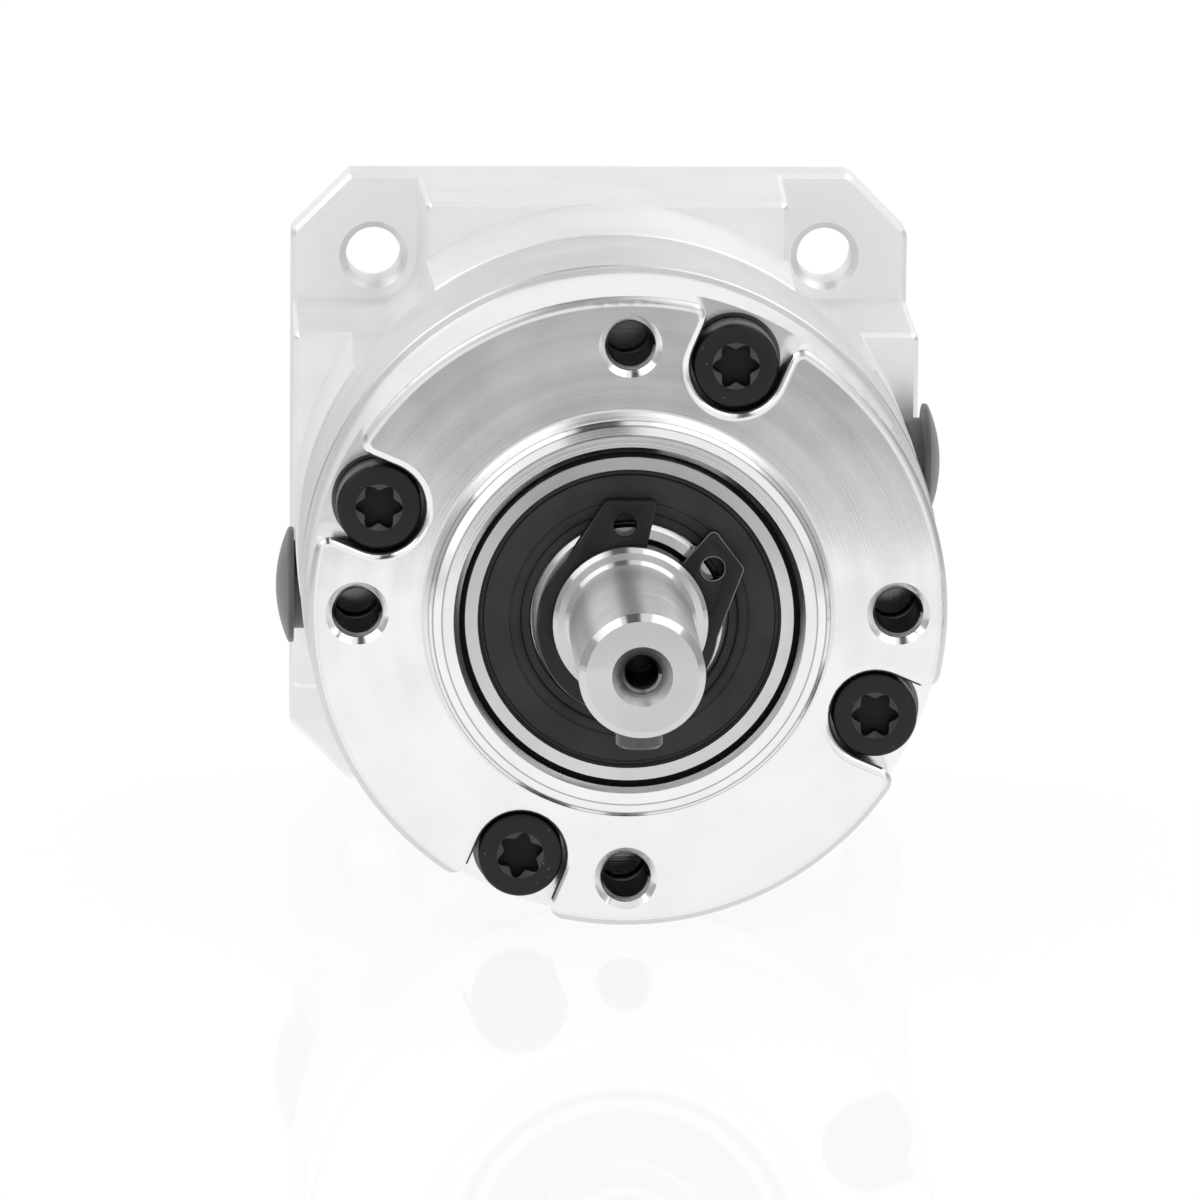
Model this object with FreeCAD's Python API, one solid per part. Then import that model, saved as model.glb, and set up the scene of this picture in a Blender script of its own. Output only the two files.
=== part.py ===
import FreeCAD, Part
import math
import os

# Single stage planetary gearhead with a keyed output shaft and a square motor adapter.
# Lengths are millimetres. The shaft axis is Y, the shaft end points to -Y and Z is up.
# The origin is the centre of the flange's mounting face, so depths behind that face are positive.

# Clearances
PRESS_GAP = 0.01
RUNNING_GAP = 0.05
SIDE_GAP = 0.05
HEAD_GAP = 0.2
SCREW_HOLE_GAP = 0.2

# Gear stage
MODULE = 0.5
SUN_TEETH = 12
PLANET_TEETH = 18
PLANET_COUNT = 3
FIRST_PLANET_ANGLE = 90.0
PRESSURE_ANGLE = 20.0
ADDENDUM = 0.9
DEDENDUM = 1.2
TOOTH_THINNING = 0.06
PLANET_WIDTH = 5.5
PIN_DIAMETER = 3.0
BUSH_WALL = 0.9
WASHER_THICKNESS = 0.2
WASHER_WIDTH = 1.6
FRONT_PLATE = 2.2
REAR_PLATE = 2.0
CARRIER_SHOULDER = 0.4
CARRIER_SHOULDER_WIDTH = 1.3
CARRIER_GAP = 0.95
CARRIER_CHAMFER = 0.3
WINDOW_GAP = 0.45
SUN_GAP = 0.5

# Output bearings
BEARING_BORE = 10.0
BEARING_OUTER = 22.0
BEARING_WIDTH = 6.0
BALL_DIAMETER = 3.0
BALL_COUNT = 9
BEARING_WEB = 1.0
BEARING_WEB_STEP = 1.5
BEARING_REAR_GAP = 0.1
SEAL_RECESS = 0.25
SEAL_THICKNESS = 0.7
SEAL_LIP_STEP = 0.2
RING_CHAMFER = 0.4
INNER_RING_EDGE = 0.28

# Shares that shape every ball bearing from its ball and its ring section
RACE_LAND_SHARE = 0.37
CAGE_WIDTH_SHARE = 0.22
CAGE_BACK_SHARE = 0.55
CAGE_FRONT_SHARE = 0.1
SEAL_OUTER_SHARE = 0.3
SEAL_INNER_SHARE = 0.275
SEAL_LIP_SHARE = 0.16

# Output flange
PILOT_WALL = 2.0
PILOT_HEIGHT = 2.5
PILOT_LEAD_WIDTH = 0.3
PILOT_LEAD_HEIGHT = 0.4
PILOT_BEVEL_WIDTH = 0.6
PILOT_BEVEL_HEIGHT = 0.25
PILOT_FOOT = 0.25
BEARING_RECESS = 0.6
MOUTH_CHAMFER = 0.35
FLANGE_MARGIN = 3.2
FLANGE_EDGE = 0.55
BAND_CHAMFER = 0.1
POCKET_CORNER = 1.0
SPIGOT_STEP = 2.4
SPIGOT_WALL = 3.0
SPIGOT_LENGTH = 2.6
SPIGOT_BORE_GAP = 0.8
MOUNT_HOLE_COUNT = 4
MOUNT_HOLE_CORE = 3.3
MOUNT_HOLE_DEPTH = 7.0
MOUNT_HOLE_CHAMFER = 0.4

# Seals on the centring spigots
O_RING_WIDTH = 0.9
O_RING_HEIGHT = 0.65
O_RING_EDGE = 0.25
O_RING_PLAY = 0.1

# Housing screws
SCREW_COUNT = 4
SCREW_FIRST_ANGLE = 67.0
SCREW_DIAMETER = 3.0
SCREW_HEAD_DIAMETER = 5.5
SCREW_HEAD_HEIGHT = 3.0
SCREW_HEAD_SINK = 0.6
SCREW_HEAD_EDGE = 0.3
SCREW_ENGAGEMENT = 5.4
SCREW_DRILL_OVER = 1.2
SCREW_HOLE_WALL = 0.8
LOBE_COUNT = 6
LOBE_CORE_DIAMETER = 2.04
LOBE_DIAMETER = 0.6
LOBE_CIRCLE = 2.2
LOBE_DEPTH = 1.4

# Bands behind the flange
RING_STEP = 0.3
BOSS_STEP = 0.1

# Output shaft
SHAFT_DIAMETER = 8.0
SHAFT_REACH = 20.9
SHAFT_CHAMFER = 0.45
SHAFT_LAND = 0.8
SHAFT_LAND_CHAMFER = 0.3
SHAFT_ROOT_BEVEL = 0.25
GROOVE_DEPTH = 0.2
GROOVE_PLAY = 0.1
CENTRE_CORE = 2.5
CENTRE_DEPTH = 8.0
CENTRE_MOUTH = 3.85
CENTRE_MOUTH_DEPTH = 0.9
KEY_WIDTH = 3.0
KEY_HEIGHT = 3.0
KEY_SEAT = 1.8
KEY_SETBACK = 2.3
KEY_ROOT_GAP = 2.8
KEY_EDGE = 0.2

# Shaft circlip, also the pattern for the input circlip
CIRCLIP_THICKNESS = 1.0
CIRCLIP_WIDTH = 1.05
CIRCLIP_OFFSET = 0.35
CIRCLIP_EAR = 3.35
CIRCLIP_GAP_ANGLE = 63.5
CIRCLIP_EAR_START = 14.4
CIRCLIP_EAR_END = 38.0
CIRCLIP_EAR_ROOT = 78.0
CIRCLIP_EAR_CORNER = 0.4
CIRCLIP_HOLE_ANGLE = 30.0
CIRCLIP_HOLE_INSET = 1.8
CIRCLIP_HOLE_DIAMETER = 1.5

# Input bearing and hub
INPUT_BORE = 15.0
INPUT_OUTER = 24.0
INPUT_WIDTH = 5.0
INPUT_BALL_DIAMETER = 2.4
INPUT_BALL_COUNT = 14
INPUT_LAND = 0.6
INPUT_CARRIER_GAP = 0.4
INPUT_RECESS = 0.4
INPUT_GROOVE_DEPTH = 0.35
INPUT_CIRCLIP_ANGLE = 0.0
HUB_DIAMETER = 20.0
HUB_SHOULDER = 0.2
HUB_SHOULDER_WIDTH = 1.3
HUB_LENGTH = 11.0
HUB_CHAMFER = 0.3
HUB_GAP = 0.75
SLIT_WIDTH = 1.0
SLIT_SETBACK = 0.6
MOTOR_SHAFT_DIAMETER = 5.0
MOTOR_SHAFT_FLOOR = 3.2
MOTOR_SHAFT_LEAD = 0.4
CLAMP_WALL = 0.39
CLAMP_SETBACK = 3.0
CLAMP_SCREW_DIAMETER = 2.5
CLAMP_SCREW_LENGTH = 10.0
CLAMP_SCREW_SEAT = 4.9
CLAMP_HEAD_DIAMETER = 4.5
CLAMP_HEAD_HEIGHT = 2.5
CLAMP_HEAD_GAP = 0.1
CLAMP_HOLE_GAP = 0.1
CLAMP_KEY_WIDTH = 2.0
CLAMP_KEY_DEPTH = 1.2

# Motor adapter
MOTOR_HOLE_SPACING = 31.0
MOTOR_HOLE_DIAMETER = 3.8
MOTOR_HOLE_CHAMFER = 0.45
MOTOR_FRAME_MARGIN = 5.65
MOTOR_PILOT_DIAMETER = 22.0
MOTOR_PILOT_DEPTH = 2.6
MOTOR_PILOT_CHAMFER = 0.3
NOTCH_RADIUS = 2.95
NOTCH_LENGTH = 12.7
NOTCH_DRAFT = 1.35
BLOCK_EDGE = 0.3
BLOCK_CORNER = 0.5
BLOCK_COVER = 0.05
PAD_THICKNESS = 3.9
PAD_CORNER = 4.0
PAD_CORNER_RADIUS = 0.8
PAD_EDGE = 0.3

# Access plugs
PLUG_STEM_DIAMETER = 5.9
PLUG_STEM_LENGTH = 5.0
PLUG_STEM_CHAMFER = 0.5
PLUG_CAP_DIAMETER = 7.8
PLUG_CAP_RIM = 0.35
PLUG_DOME = 0.85
PLUG_SEAT_GAP = 0.05
PLUG_BLOCK_GAP = 0.3

# Gear radii follow from module and tooth counts
ring_teeth = SUN_TEETH + 2 * PLANET_TEETH
planet_orbit = MODULE * (SUN_TEETH + PLANET_TEETH) / 2
sun_tip = MODULE * (SUN_TEETH / 2 + ADDENDUM)
sun_root = MODULE * (SUN_TEETH / 2 - DEDENDUM)
planet_tip = MODULE * (PLANET_TEETH / 2 + ADDENDUM)
planet_root = MODULE * (PLANET_TEETH / 2 - DEDENDUM)
ring_tip = MODULE * (ring_teeth / 2 - ADDENDUM)
ring_root = MODULE * (ring_teeth / 2 + DEDENDUM)
pin_radius = PIN_DIAMETER / 2
bush_radius = pin_radius + RUNNING_GAP + BUSH_WALL
carrier_radius = ring_tip - CARRIER_GAP

# Radii from the axis outwards
shaft_radius = SHAFT_DIAMETER / 2
seat_radius = BEARING_BORE / 2
bearing_radius = BEARING_OUTER / 2
pilot_radius = bearing_radius + PILOT_WALL
input_radius = INPUT_OUTER / 2
spigot_radius = max(ring_root + SPIGOT_STEP, input_radius + SPIGOT_WALL)
screw_hole_radius = SCREW_DIAMETER / 2 + SCREW_HOLE_GAP
hole_circle = spigot_radius + SCREW_HOLE_WALL + screw_hole_radius
flange_radius = hole_circle + FLANGE_MARGIN
ring_radius = flange_radius + RING_STEP
boss_radius = ring_radius + BOSS_STEP
hub_radius = HUB_DIAMETER / 2
cavity_radius = hub_radius + HUB_GAP
motor_half = MOTOR_HOLE_SPACING / 2
frame_half = max(motor_half + MOTOR_FRAME_MARGIN, boss_radius + BLOCK_COVER)
motor_shaft_radius = MOTOR_SHAFT_DIAMETER / 2
clamp_hole_radius = CLAMP_SCREW_DIAMETER / 2 + CLAMP_HOLE_GAP
clamp_offset = motor_shaft_radius + clamp_hole_radius + CLAMP_WALL
access_radius = PLUG_STEM_DIAMETER / 2 + RUNNING_GAP
cap_radius = PLUG_CAP_DIAMETER / 2

# Depths from the shaft tip to the motor face
shaft_tip = -SHAFT_REACH
front_bearing = BEARING_RECESS - PILOT_HEIGHT
groove_front = front_bearing - CIRCLIP_THICKNESS - GROOVE_PLAY
land_front = groove_front - SHAFT_LAND
root_bevel = min(SHAFT_ROOT_BEVEL, (seat_radius - SHAFT_LAND_CHAMFER - shaft_radius) / 2)
web_front = front_bearing + BEARING_WIDTH
rear_bearing = web_front + BEARING_WEB
carrier_seat = rear_bearing + BEARING_WIDTH
flange_rear = carrier_seat + BEARING_REAR_GAP
pocket_floor = SCREW_HEAD_SINK + SCREW_HEAD_HEIGHT
planet_gap = WASHER_THICKNESS + 2 * SIDE_GAP
carrier_front = carrier_seat + CARRIER_SHOULDER
window_front = carrier_front + FRONT_PLATE
planet_front = window_front + planet_gap
planet_rear = planet_front + PLANET_WIDTH
window_rear = planet_rear + planet_gap
carrier_rear = window_rear + REAR_PLATE
hub_front = carrier_rear + INPUT_CARRIER_GAP
input_groove = hub_front + INPUT_LAND
input_bearing = input_groove + CIRCLIP_THICKNESS + GROOVE_PLAY
input_rear = input_bearing + INPUT_WIDTH
ring_rear = input_bearing - INPUT_RECESS
screw_tip = ring_rear + SCREW_ENGAGEMENT
clamp_front = input_rear + HUB_SHOULDER
clamp_axis = clamp_front + CLAMP_SETBACK
hub_rear = clamp_front + HUB_LENGTH
block_front = clamp_axis + cap_radius + PLUG_BLOCK_GAP
pad_face = block_front + NOTCH_LENGTH
motor_face = pad_face + PAD_THICKNESS

ALONG = FreeCAD.Vector(0, 1, 0)
ORIGIN = FreeCAD.Vector(0, 0, 0)


def at(x, y, z):
    return FreeCAD.Vector(x, y, z)


def polar(radius, angle, depth=0.0):
    turn = math.radians(angle)
    return at(radius * math.cos(turn), depth, radius * math.sin(turn))


def rod(radius, front, rear, centre=ORIGIN):
    return Part.makeCylinder(radius, rear - front, centre + at(0, front, 0), ALONG)


def cone(front_radius, rear_radius, front, rear, centre=ORIGIN):
    return Part.makeCone(front_radius, rear_radius, rear - front, centre + at(0, front, 0), ALONG)


def tube(outer, inner, front, rear, centre=ORIGIN):
    return rod(outer, front, rear, centre).cut(rod(inner, front, rear, centre))


def turned(corners):
    # A turned body from the corners of its half section, given as radius and depth.
    points = [at(radius, depth, 0) for radius, depth in corners]
    section = Part.Face(Part.makePolygon(points + points[:1]))
    return section.revolve(ORIGIN, ALONG, 360)


def prism(wire, front, rear):
    return Part.Face(wire).extrude(at(0, rear - front, 0)).translated(at(0, front, 0))


def around(shape, angle):
    return shape.rotated(ORIGIN, ALONG, -angle)


def ring_of(count, first=0.0):
    return [first + 360.0 * index / count for index in range(count)]


def line(start, end):
    return Part.LineSegment(start, end).toShape()


def arc(start, middle, end):
    return Part.Arc(start, middle, end).toShape()


def edges_on_depth(shape, depth):
    small = PRESS_GAP / 2
    return [e for e in shape.Edges if abs(e.BoundBox.YMin - depth) < small and e.BoundBox.YLength < small]


# Gear teeth

def involute(angle):
    return math.tan(angle) - angle


def gear_wire(teeth, tip, root, thickening, phase):
    # An outline of involute teeth. The flanks are arcs through three points of the involute.
    pitch = MODULE * teeth / 2
    pressure = math.radians(PRESSURE_ANGLE)
    base = pitch * math.cos(pressure)
    foot = max(root, base)
    half_tooth = math.pi / 2 / teeth + thickening / 2 / pitch

    def half_angle(radius):
        turn = half_tooth + involute(pressure) - involute(math.acos(min(1.0, base / radius)))
        return math.degrees(turn)

    edges = []
    step = 360.0 / teeth
    middle = (foot + tip) / 2
    for centre in ring_of(teeth, phase):
        low, mid, high = half_angle(foot), half_angle(middle), half_angle(tip)
        rise = [polar(foot, centre - low), polar(middle, centre - mid), polar(tip, centre - high)]
        fall = [polar(tip, centre + high), polar(middle, centre + mid), polar(foot, centre + low)]
        if root < base:
            edges.append(line(polar(root, centre - low), rise[0]))
        edges.append(arc(*rise))
        edges.append(arc(rise[2], polar(tip, centre), fall[0]))
        edges.append(arc(*fall))
        if root < base:
            edges.append(line(fall[2], polar(root, centre + low)))
        gap_end = centre + step - low
        edges.append(arc(polar(root, centre + low), polar(root, centre + step / 2), polar(root, gap_end)))
    return Part.Wire(Part.__sortEdges__(edges))


def planet_angles():
    return ring_of(PLANET_COUNT, FIRST_PLANET_ANGLE)


def ring_gear():
    body = turned([
        (0, flange_rear),
        (ring_radius - BAND_CHAMFER, flange_rear),
        (ring_radius, flange_rear + BAND_CHAMFER),
        (ring_radius, ring_rear - BAND_CHAMFER),
        (ring_radius - BAND_CHAMFER, ring_rear),
        (0, ring_rear),
    ])
    space_phase = FIRST_PLANET_ANGLE + 180.0 / ring_teeth
    spaces = gear_wire(ring_teeth, ring_root, ring_tip, TOOTH_THINNING, space_phase)
    body = body.cut(prism(spaces, flange_rear, ring_rear))
    socket = spigot_radius + PRESS_GAP
    socket_depth = SPIGOT_LENGTH + SIDE_GAP
    body = body.cut(rod(socket, flange_rear, flange_rear + socket_depth))
    body = body.cut(rod(socket, ring_rear - socket_depth, ring_rear))
    for angle in ring_of(SCREW_COUNT, SCREW_FIRST_ANGLE):
        body = body.cut(rod(screw_hole_radius, flange_rear, ring_rear, polar(hole_circle, angle)))
    return body


def planet_gear(angle):
    tooth_phase = angle + 180.0 / PLANET_TEETH
    wire = gear_wire(PLANET_TEETH, planet_tip, planet_root, -TOOTH_THINNING, tooth_phase)
    gear = prism(wire, planet_front, planet_rear)
    gear = gear.cut(rod(bush_radius + PRESS_GAP, planet_front, planet_rear))
    return gear.translated(polar(planet_orbit, angle))


def planet_bush(angle):
    inner = pin_radius + RUNNING_GAP
    return tube(bush_radius, inner, planet_front, planet_rear, polar(planet_orbit, angle))


def planet_pin(angle):
    return rod(pin_radius - PRESS_GAP, carrier_front, carrier_rear, polar(planet_orbit, angle))


def thrust_washers():
    inner = pin_radius + RUNNING_GAP
    outer = inner + WASHER_WIDTH
    washers = []
    for angle in planet_angles():
        for front in (window_front + SIDE_GAP, planet_rear + SIDE_GAP):
            centre = polar(planet_orbit, angle)
            washers.append(tube(outer, inner, front, front + WASHER_THICKNESS, centre))
    return Part.makeCompound(washers)


# Ball bearings

class Bearing:
    # One deep groove ball bearing, described by its catalogue sizes and its front face.

    def __init__(self, bore, outer, width, ball, count, front):
        self.bore = bore / 2
        self.outer = outer / 2
        self.front = front
        self.rear = front + width
        self.middle = front + width / 2
        self.ball = ball / 2
        self.count = count
        self.pitch = (bore + outer) / 4
        section = (outer - bore) / 2
        self.land = RACE_LAND_SHARE * ball
        self.seal_outer = self.pitch + SEAL_OUTER_SHARE * section
        self.seal_inner = self.pitch - SEAL_INNER_SHARE * section
        self.seal_lip = self.pitch - SEAL_LIP_SHARE * section
        self.seal_depth = SEAL_RECESS + SEAL_THICKNESS
        self.cage_half = CAGE_WIDTH_SHARE * ball
        self.cage_front = self.middle - CAGE_BACK_SHARE * ball
        self.cage_rear = self.middle + CAGE_FRONT_SHARE * ball

    def groove(self):
        return Part.makeTorus(self.pitch, self.ball + RUNNING_GAP, at(0, self.middle, 0), ALONG)

    def outer_ring(self):
        land = self.pitch + self.land
        ring = turned([
            (self.seal_outer, self.front),
            (self.outer - RING_CHAMFER, self.front),
            (self.outer, self.front + RING_CHAMFER),
            (self.outer, self.rear - RING_CHAMFER),
            (self.outer - RING_CHAMFER, self.rear),
            (self.seal_outer, self.rear),
            (self.seal_outer, self.rear - self.seal_depth),
            (land, self.rear - self.seal_depth),
            (land, self.front + self.seal_depth),
            (self.seal_outer, self.front + self.seal_depth),
        ])
        return ring.cut(self.groove())

    def inner_ring(self):
        land = self.pitch - self.land
        bore = self.bore + PRESS_GAP
        step = self.seal_inner - RUNNING_GAP
        edge = min(INNER_RING_EDGE, (step - bore - RING_CHAMFER) / 2)
        ring = turned([
            (bore, self.front + RING_CHAMFER),
            (bore + RING_CHAMFER, self.front),
            (step - edge, self.front),
            (step, self.front + edge),
            (step, self.front + self.seal_depth),
            (land, self.front + self.seal_depth),
            (land, self.rear - self.seal_depth),
            (step, self.rear - self.seal_depth),
            (step, self.rear - edge),
            (step - edge, self.rear),
            (bore + RING_CHAMFER, self.rear),
            (bore, self.rear - RING_CHAMFER),
        ])
        return ring.cut(self.groove())

    def spheres(self, radius):
        half_step = 180.0 / self.count
        centres = [polar(self.pitch, angle, self.middle) for angle in ring_of(self.count, half_step)]
        return [Part.makeSphere(radius, centre, ALONG) for centre in centres]

    def balls(self):
        return Part.makeCompound(self.spheres(self.ball))

    def cage(self):
        inner = self.pitch - self.cage_half
        outer = self.pitch + self.cage_half
        crown = tube(outer, inner, self.cage_front, self.cage_rear)
        for pocket in self.spheres(self.ball + RUNNING_GAP):
            crown = crown.cut(pocket)
        return crown

    def seal(self, face, inward):
        # A seal disc set back from a ring face, with a thinner lip next to the inner ring.
        outside = face + inward * SEAL_RECESS
        inside = face + inward * (self.seal_depth - SIDE_GAP)
        return turned([
            (self.seal_inner, outside + inward * SEAL_LIP_STEP),
            (self.seal_lip, outside + inward * SEAL_LIP_STEP),
            (self.seal_lip, outside),
            (self.seal_outer - PRESS_GAP, outside),
            (self.seal_outer - PRESS_GAP, inside),
            (self.seal_inner, inside),
        ])

    def seals(self):
        return Part.makeCompound([self.seal(self.front, 1), self.seal(self.rear, -1)])


def output_bearing(front):
    return Bearing(BEARING_BORE, BEARING_OUTER, BEARING_WIDTH, BALL_DIAMETER, BALL_COUNT, front)


def input_ball_bearing():
    return Bearing(INPUT_BORE, INPUT_OUTER, INPUT_WIDTH, INPUT_BALL_DIAMETER, INPUT_BALL_COUNT, input_bearing)


# Output flange and what seals it

def pocketed_outline():
    # The rim circle with a round ended pocket at each screw. Each pocket mouth has rounded corners.
    pocket = SCREW_HEAD_DIAMETER / 2 + HEAD_GAP
    corner_side = pocket + POCKET_CORNER
    corner_along = math.sqrt((flange_radius - POCKET_CORNER) ** 2 - corner_side ** 2)
    mouth = math.degrees(math.atan2(corner_side, corner_along))
    step = 360.0 / SCREW_COUNT
    edges = []
    for angle in ring_of(SCREW_COUNT, SCREW_FIRST_ANGLE):
        for side in (-1, 1):
            centre = at(corner_along, 0, side * corner_side)
            half_turn = (mouth - 90.0) / 2
            on_wall = at(corner_along, 0, side * pocket)
            on_rim = polar(flange_radius, side * mouth)
            between = centre + polar(POCKET_CORNER, side * half_turn)
            wall = line(at(hole_circle, 0, side * pocket), on_wall)
            edges.append(around(wall, angle))
            edges.append(around(arc(on_wall, between, on_rim), angle))
        end = arc(at(hole_circle, 0, -pocket), at(hole_circle - pocket, 0, 0), at(hole_circle, 0, pocket))
        edges.append(around(end, angle))
        start = polar(flange_radius, angle + mouth)
        half_way = polar(flange_radius, angle + step / 2)
        edges.append(arc(start, half_way, polar(flange_radius, angle + step - mouth)))
    return Part.Wire(Part.__sortEdges__(edges))


def pilot():
    wall = pilot_radius - bearing_radius
    bevel = min(PILOT_LEAD_WIDTH + PILOT_BEVEL_WIDTH, wall - MOUTH_CHAMFER - PRESS_GAP)
    lead = bevel * PILOT_LEAD_WIDTH / (PILOT_LEAD_WIDTH + PILOT_BEVEL_WIDTH)
    return turned([
        (0, 0),
        (pilot_radius + PILOT_FOOT, 0),
        (pilot_radius, -PILOT_FOOT),
        (pilot_radius, -PILOT_HEIGHT + PILOT_BEVEL_HEIGHT + PILOT_LEAD_HEIGHT),
        (pilot_radius - lead, -PILOT_HEIGHT + PILOT_BEVEL_HEIGHT),
        (pilot_radius - bevel, -PILOT_HEIGHT),
        (0, -PILOT_HEIGHT),
    ])


def spigot(face, outward, bore):
    # A centring ring that stands on a face, with a groove for its O-ring.
    end = face + outward * SPIGOT_LENGTH
    groove_near = face + outward * (SPIGOT_LENGTH - O_RING_WIDTH - O_RING_PLAY) / 2
    groove_far = face + outward * (SPIGOT_LENGTH + O_RING_WIDTH + O_RING_PLAY) / 2
    floor = spigot_radius - O_RING_HEIGHT - PRESS_GAP
    return turned([
        (bore, face),
        (spigot_radius, face),
        (spigot_radius, groove_near),
        (floor, groove_near),
        (floor, groove_far),
        (spigot_radius, groove_far),
        (spigot_radius, end - outward * BAND_CHAMFER),
        (spigot_radius - BAND_CHAMFER, end),
        (bore, end),
    ])


def o_ring(face, outward):
    middle = face + outward * SPIGOT_LENGTH / 2
    front = middle - O_RING_WIDTH / 2
    rear = middle + O_RING_WIDTH / 2
    inner = spigot_radius - O_RING_HEIGHT
    return turned([
        (inner, front + O_RING_EDGE),
        (inner + O_RING_EDGE, front),
        (spigot_radius - O_RING_EDGE, front),
        (spigot_radius, front + O_RING_EDGE),
        (spigot_radius, rear - O_RING_EDGE),
        (spigot_radius - O_RING_EDGE, rear),
        (inner + O_RING_EDGE, rear),
        (inner, rear - O_RING_EDGE),
    ])


def output_flange():
    face_layer = prism(pocketed_outline(), 0, pocket_floor)
    face_layer = face_layer.makeFillet(FLANGE_EDGE, edges_on_depth(face_layer, 0))
    base_layer = turned([
        (0, pocket_floor),
        (flange_radius, pocket_floor),
        (flange_radius, flange_rear - BAND_CHAMFER),
        (flange_radius - BAND_CHAMFER, flange_rear),
        (0, flange_rear),
    ])
    flange = face_layer.fuse([base_layer, pilot(), spigot(flange_rear, 1, carrier_radius + SPIGOT_BORE_GAP)])
    seat = bearing_radius + PRESS_GAP
    flange = flange.cut(rod(seat, -PILOT_HEIGHT, web_front))
    flange = flange.cut(cone(seat + MOUTH_CHAMFER, seat, -PILOT_HEIGHT, -PILOT_HEIGHT + MOUTH_CHAMFER))
    flange = flange.cut(rod(bearing_radius - BEARING_WEB_STEP, web_front, rear_bearing))
    flange = flange.cut(rod(seat, rear_bearing, flange_rear))
    for angle in ring_of(MOUNT_HOLE_COUNT):
        centre = polar(hole_circle, angle)
        core = MOUNT_HOLE_CORE / 2
        flange = flange.cut(rod(core, 0, MOUNT_HOLE_DEPTH, centre))
        flange = flange.cut(cone(core + MOUNT_HOLE_CHAMFER, core, 0, MOUNT_HOLE_CHAMFER, centre))
    for angle in ring_of(SCREW_COUNT, SCREW_FIRST_ANGLE):
        flange = flange.cut(rod(screw_hole_radius, pocket_floor, flange_rear, polar(hole_circle, angle)))
    return flange.removeSplitter()


def flange_screw(angle):
    head = SCREW_HEAD_DIAMETER / 2
    shank = SCREW_DIAMETER / 2
    top = SCREW_HEAD_SINK
    screw = turned([
        (0, top),
        (head - SCREW_HEAD_EDGE, top),
        (head, top + SCREW_HEAD_EDGE),
        (head, pocket_floor),
        (shank, pocket_floor),
        (shank, screw_tip - SCREW_HEAD_EDGE),
        (shank - SCREW_HEAD_EDGE, screw_tip),
        (0, screw_tip),
    ])
    screw = screw.cut(rod(LOBE_CORE_DIAMETER / 2, top, top + LOBE_DEPTH))
    for lobe in ring_of(LOBE_COUNT, angle):
        screw = screw.cut(rod(LOBE_DIAMETER / 2, top, top + LOBE_DEPTH, polar(LOBE_CIRCLE / 2, lobe)))
    return screw.translated(polar(hole_circle, angle))


def flange_screws():
    angles = ring_of(SCREW_COUNT, SCREW_FIRST_ANGLE)
    return Part.makeCompound([flange_screw(angle) for angle in angles])


# Output shaft with its carrier

def key_slot(top, bottom, width):
    # A round ended bar along the shaft, between two heights.
    end_radius = width / 2
    front = shaft_tip + KEY_SETBACK + KEY_WIDTH / 2
    rear = land_front - KEY_ROOT_GAP - KEY_WIDTH / 2
    height = top - bottom
    bar = Part.makeBox(width, rear - front, height, at(-end_radius, front, bottom))
    ends = [Part.makeCylinder(end_radius, height, at(0, depth, bottom)) for depth in (front, rear)]
    return bar.fuse(ends).removeSplitter()


def shaft_key():
    seat = KEY_SEAT - shaft_radius
    key = key_slot(seat, seat - KEY_HEIGHT, KEY_WIDTH - 2 * PRESS_GAP)
    rim = [e for e in key.Edges if e.BoundBox.ZMax < seat - KEY_HEIGHT + PRESS_GAP]
    return key.makeChamfer(KEY_EDGE, rim)


def output_shaft():
    shaft = turned([
        (0, shaft_tip),
        (shaft_radius - SHAFT_CHAMFER, shaft_tip),
        (shaft_radius, shaft_tip + SHAFT_CHAMFER),
        (shaft_radius, land_front - root_bevel),
        (shaft_radius + root_bevel, land_front),
        (seat_radius - SHAFT_LAND_CHAMFER, land_front),
        (seat_radius, land_front + SHAFT_LAND_CHAMFER),
        (seat_radius, groove_front),
        (seat_radius - GROOVE_DEPTH, groove_front),
        (seat_radius - GROOVE_DEPTH, front_bearing),
        (seat_radius, front_bearing),
        (seat_radius, carrier_seat),
        (seat_radius + CARRIER_SHOULDER_WIDTH, carrier_seat),
        (seat_radius + CARRIER_SHOULDER_WIDTH, carrier_front),
        (carrier_radius - CARRIER_CHAMFER, carrier_front),
        (carrier_radius, carrier_front + CARRIER_CHAMFER),
        (carrier_radius, carrier_rear - CARRIER_CHAMFER),
        (carrier_radius - CARRIER_CHAMFER, carrier_rear),
        (0, carrier_rear),
    ])
    shaft = shaft.cut(rod(sun_tip + SUN_GAP, window_front, carrier_rear))
    window = planet_tip + WINDOW_GAP
    for angle in planet_angles():
        centre = polar(planet_orbit, angle)
        way_out = Part.makeBox(carrier_radius, window_rear - window_front, 2 * window)
        way_out = way_out.translated(at(planet_orbit, window_front, -window))
        shaft = shaft.cut(rod(window, window_front, window_rear, centre))
        shaft = shaft.cut(around(way_out, angle))
        shaft = shaft.cut(rod(pin_radius, carrier_front, carrier_rear, centre))
    core = CENTRE_CORE / 2
    mouth = CENTRE_MOUTH / 2
    shaft = shaft.cut(rod(core, shaft_tip, shaft_tip + CENTRE_DEPTH))
    shaft = shaft.cut(cone(mouth, core, shaft_tip, shaft_tip + CENTRE_MOUTH_DEPTH))
    return shaft.cut(key_slot(KEY_SEAT - shaft_radius, -2 * shaft_radius, KEY_WIDTH))


def bearing_spacer():
    inner = seat_radius + PRESS_GAP
    return tube(seat_radius + CARRIER_SHOULDER_WIDTH, inner, web_front, rear_bearing)


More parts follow.
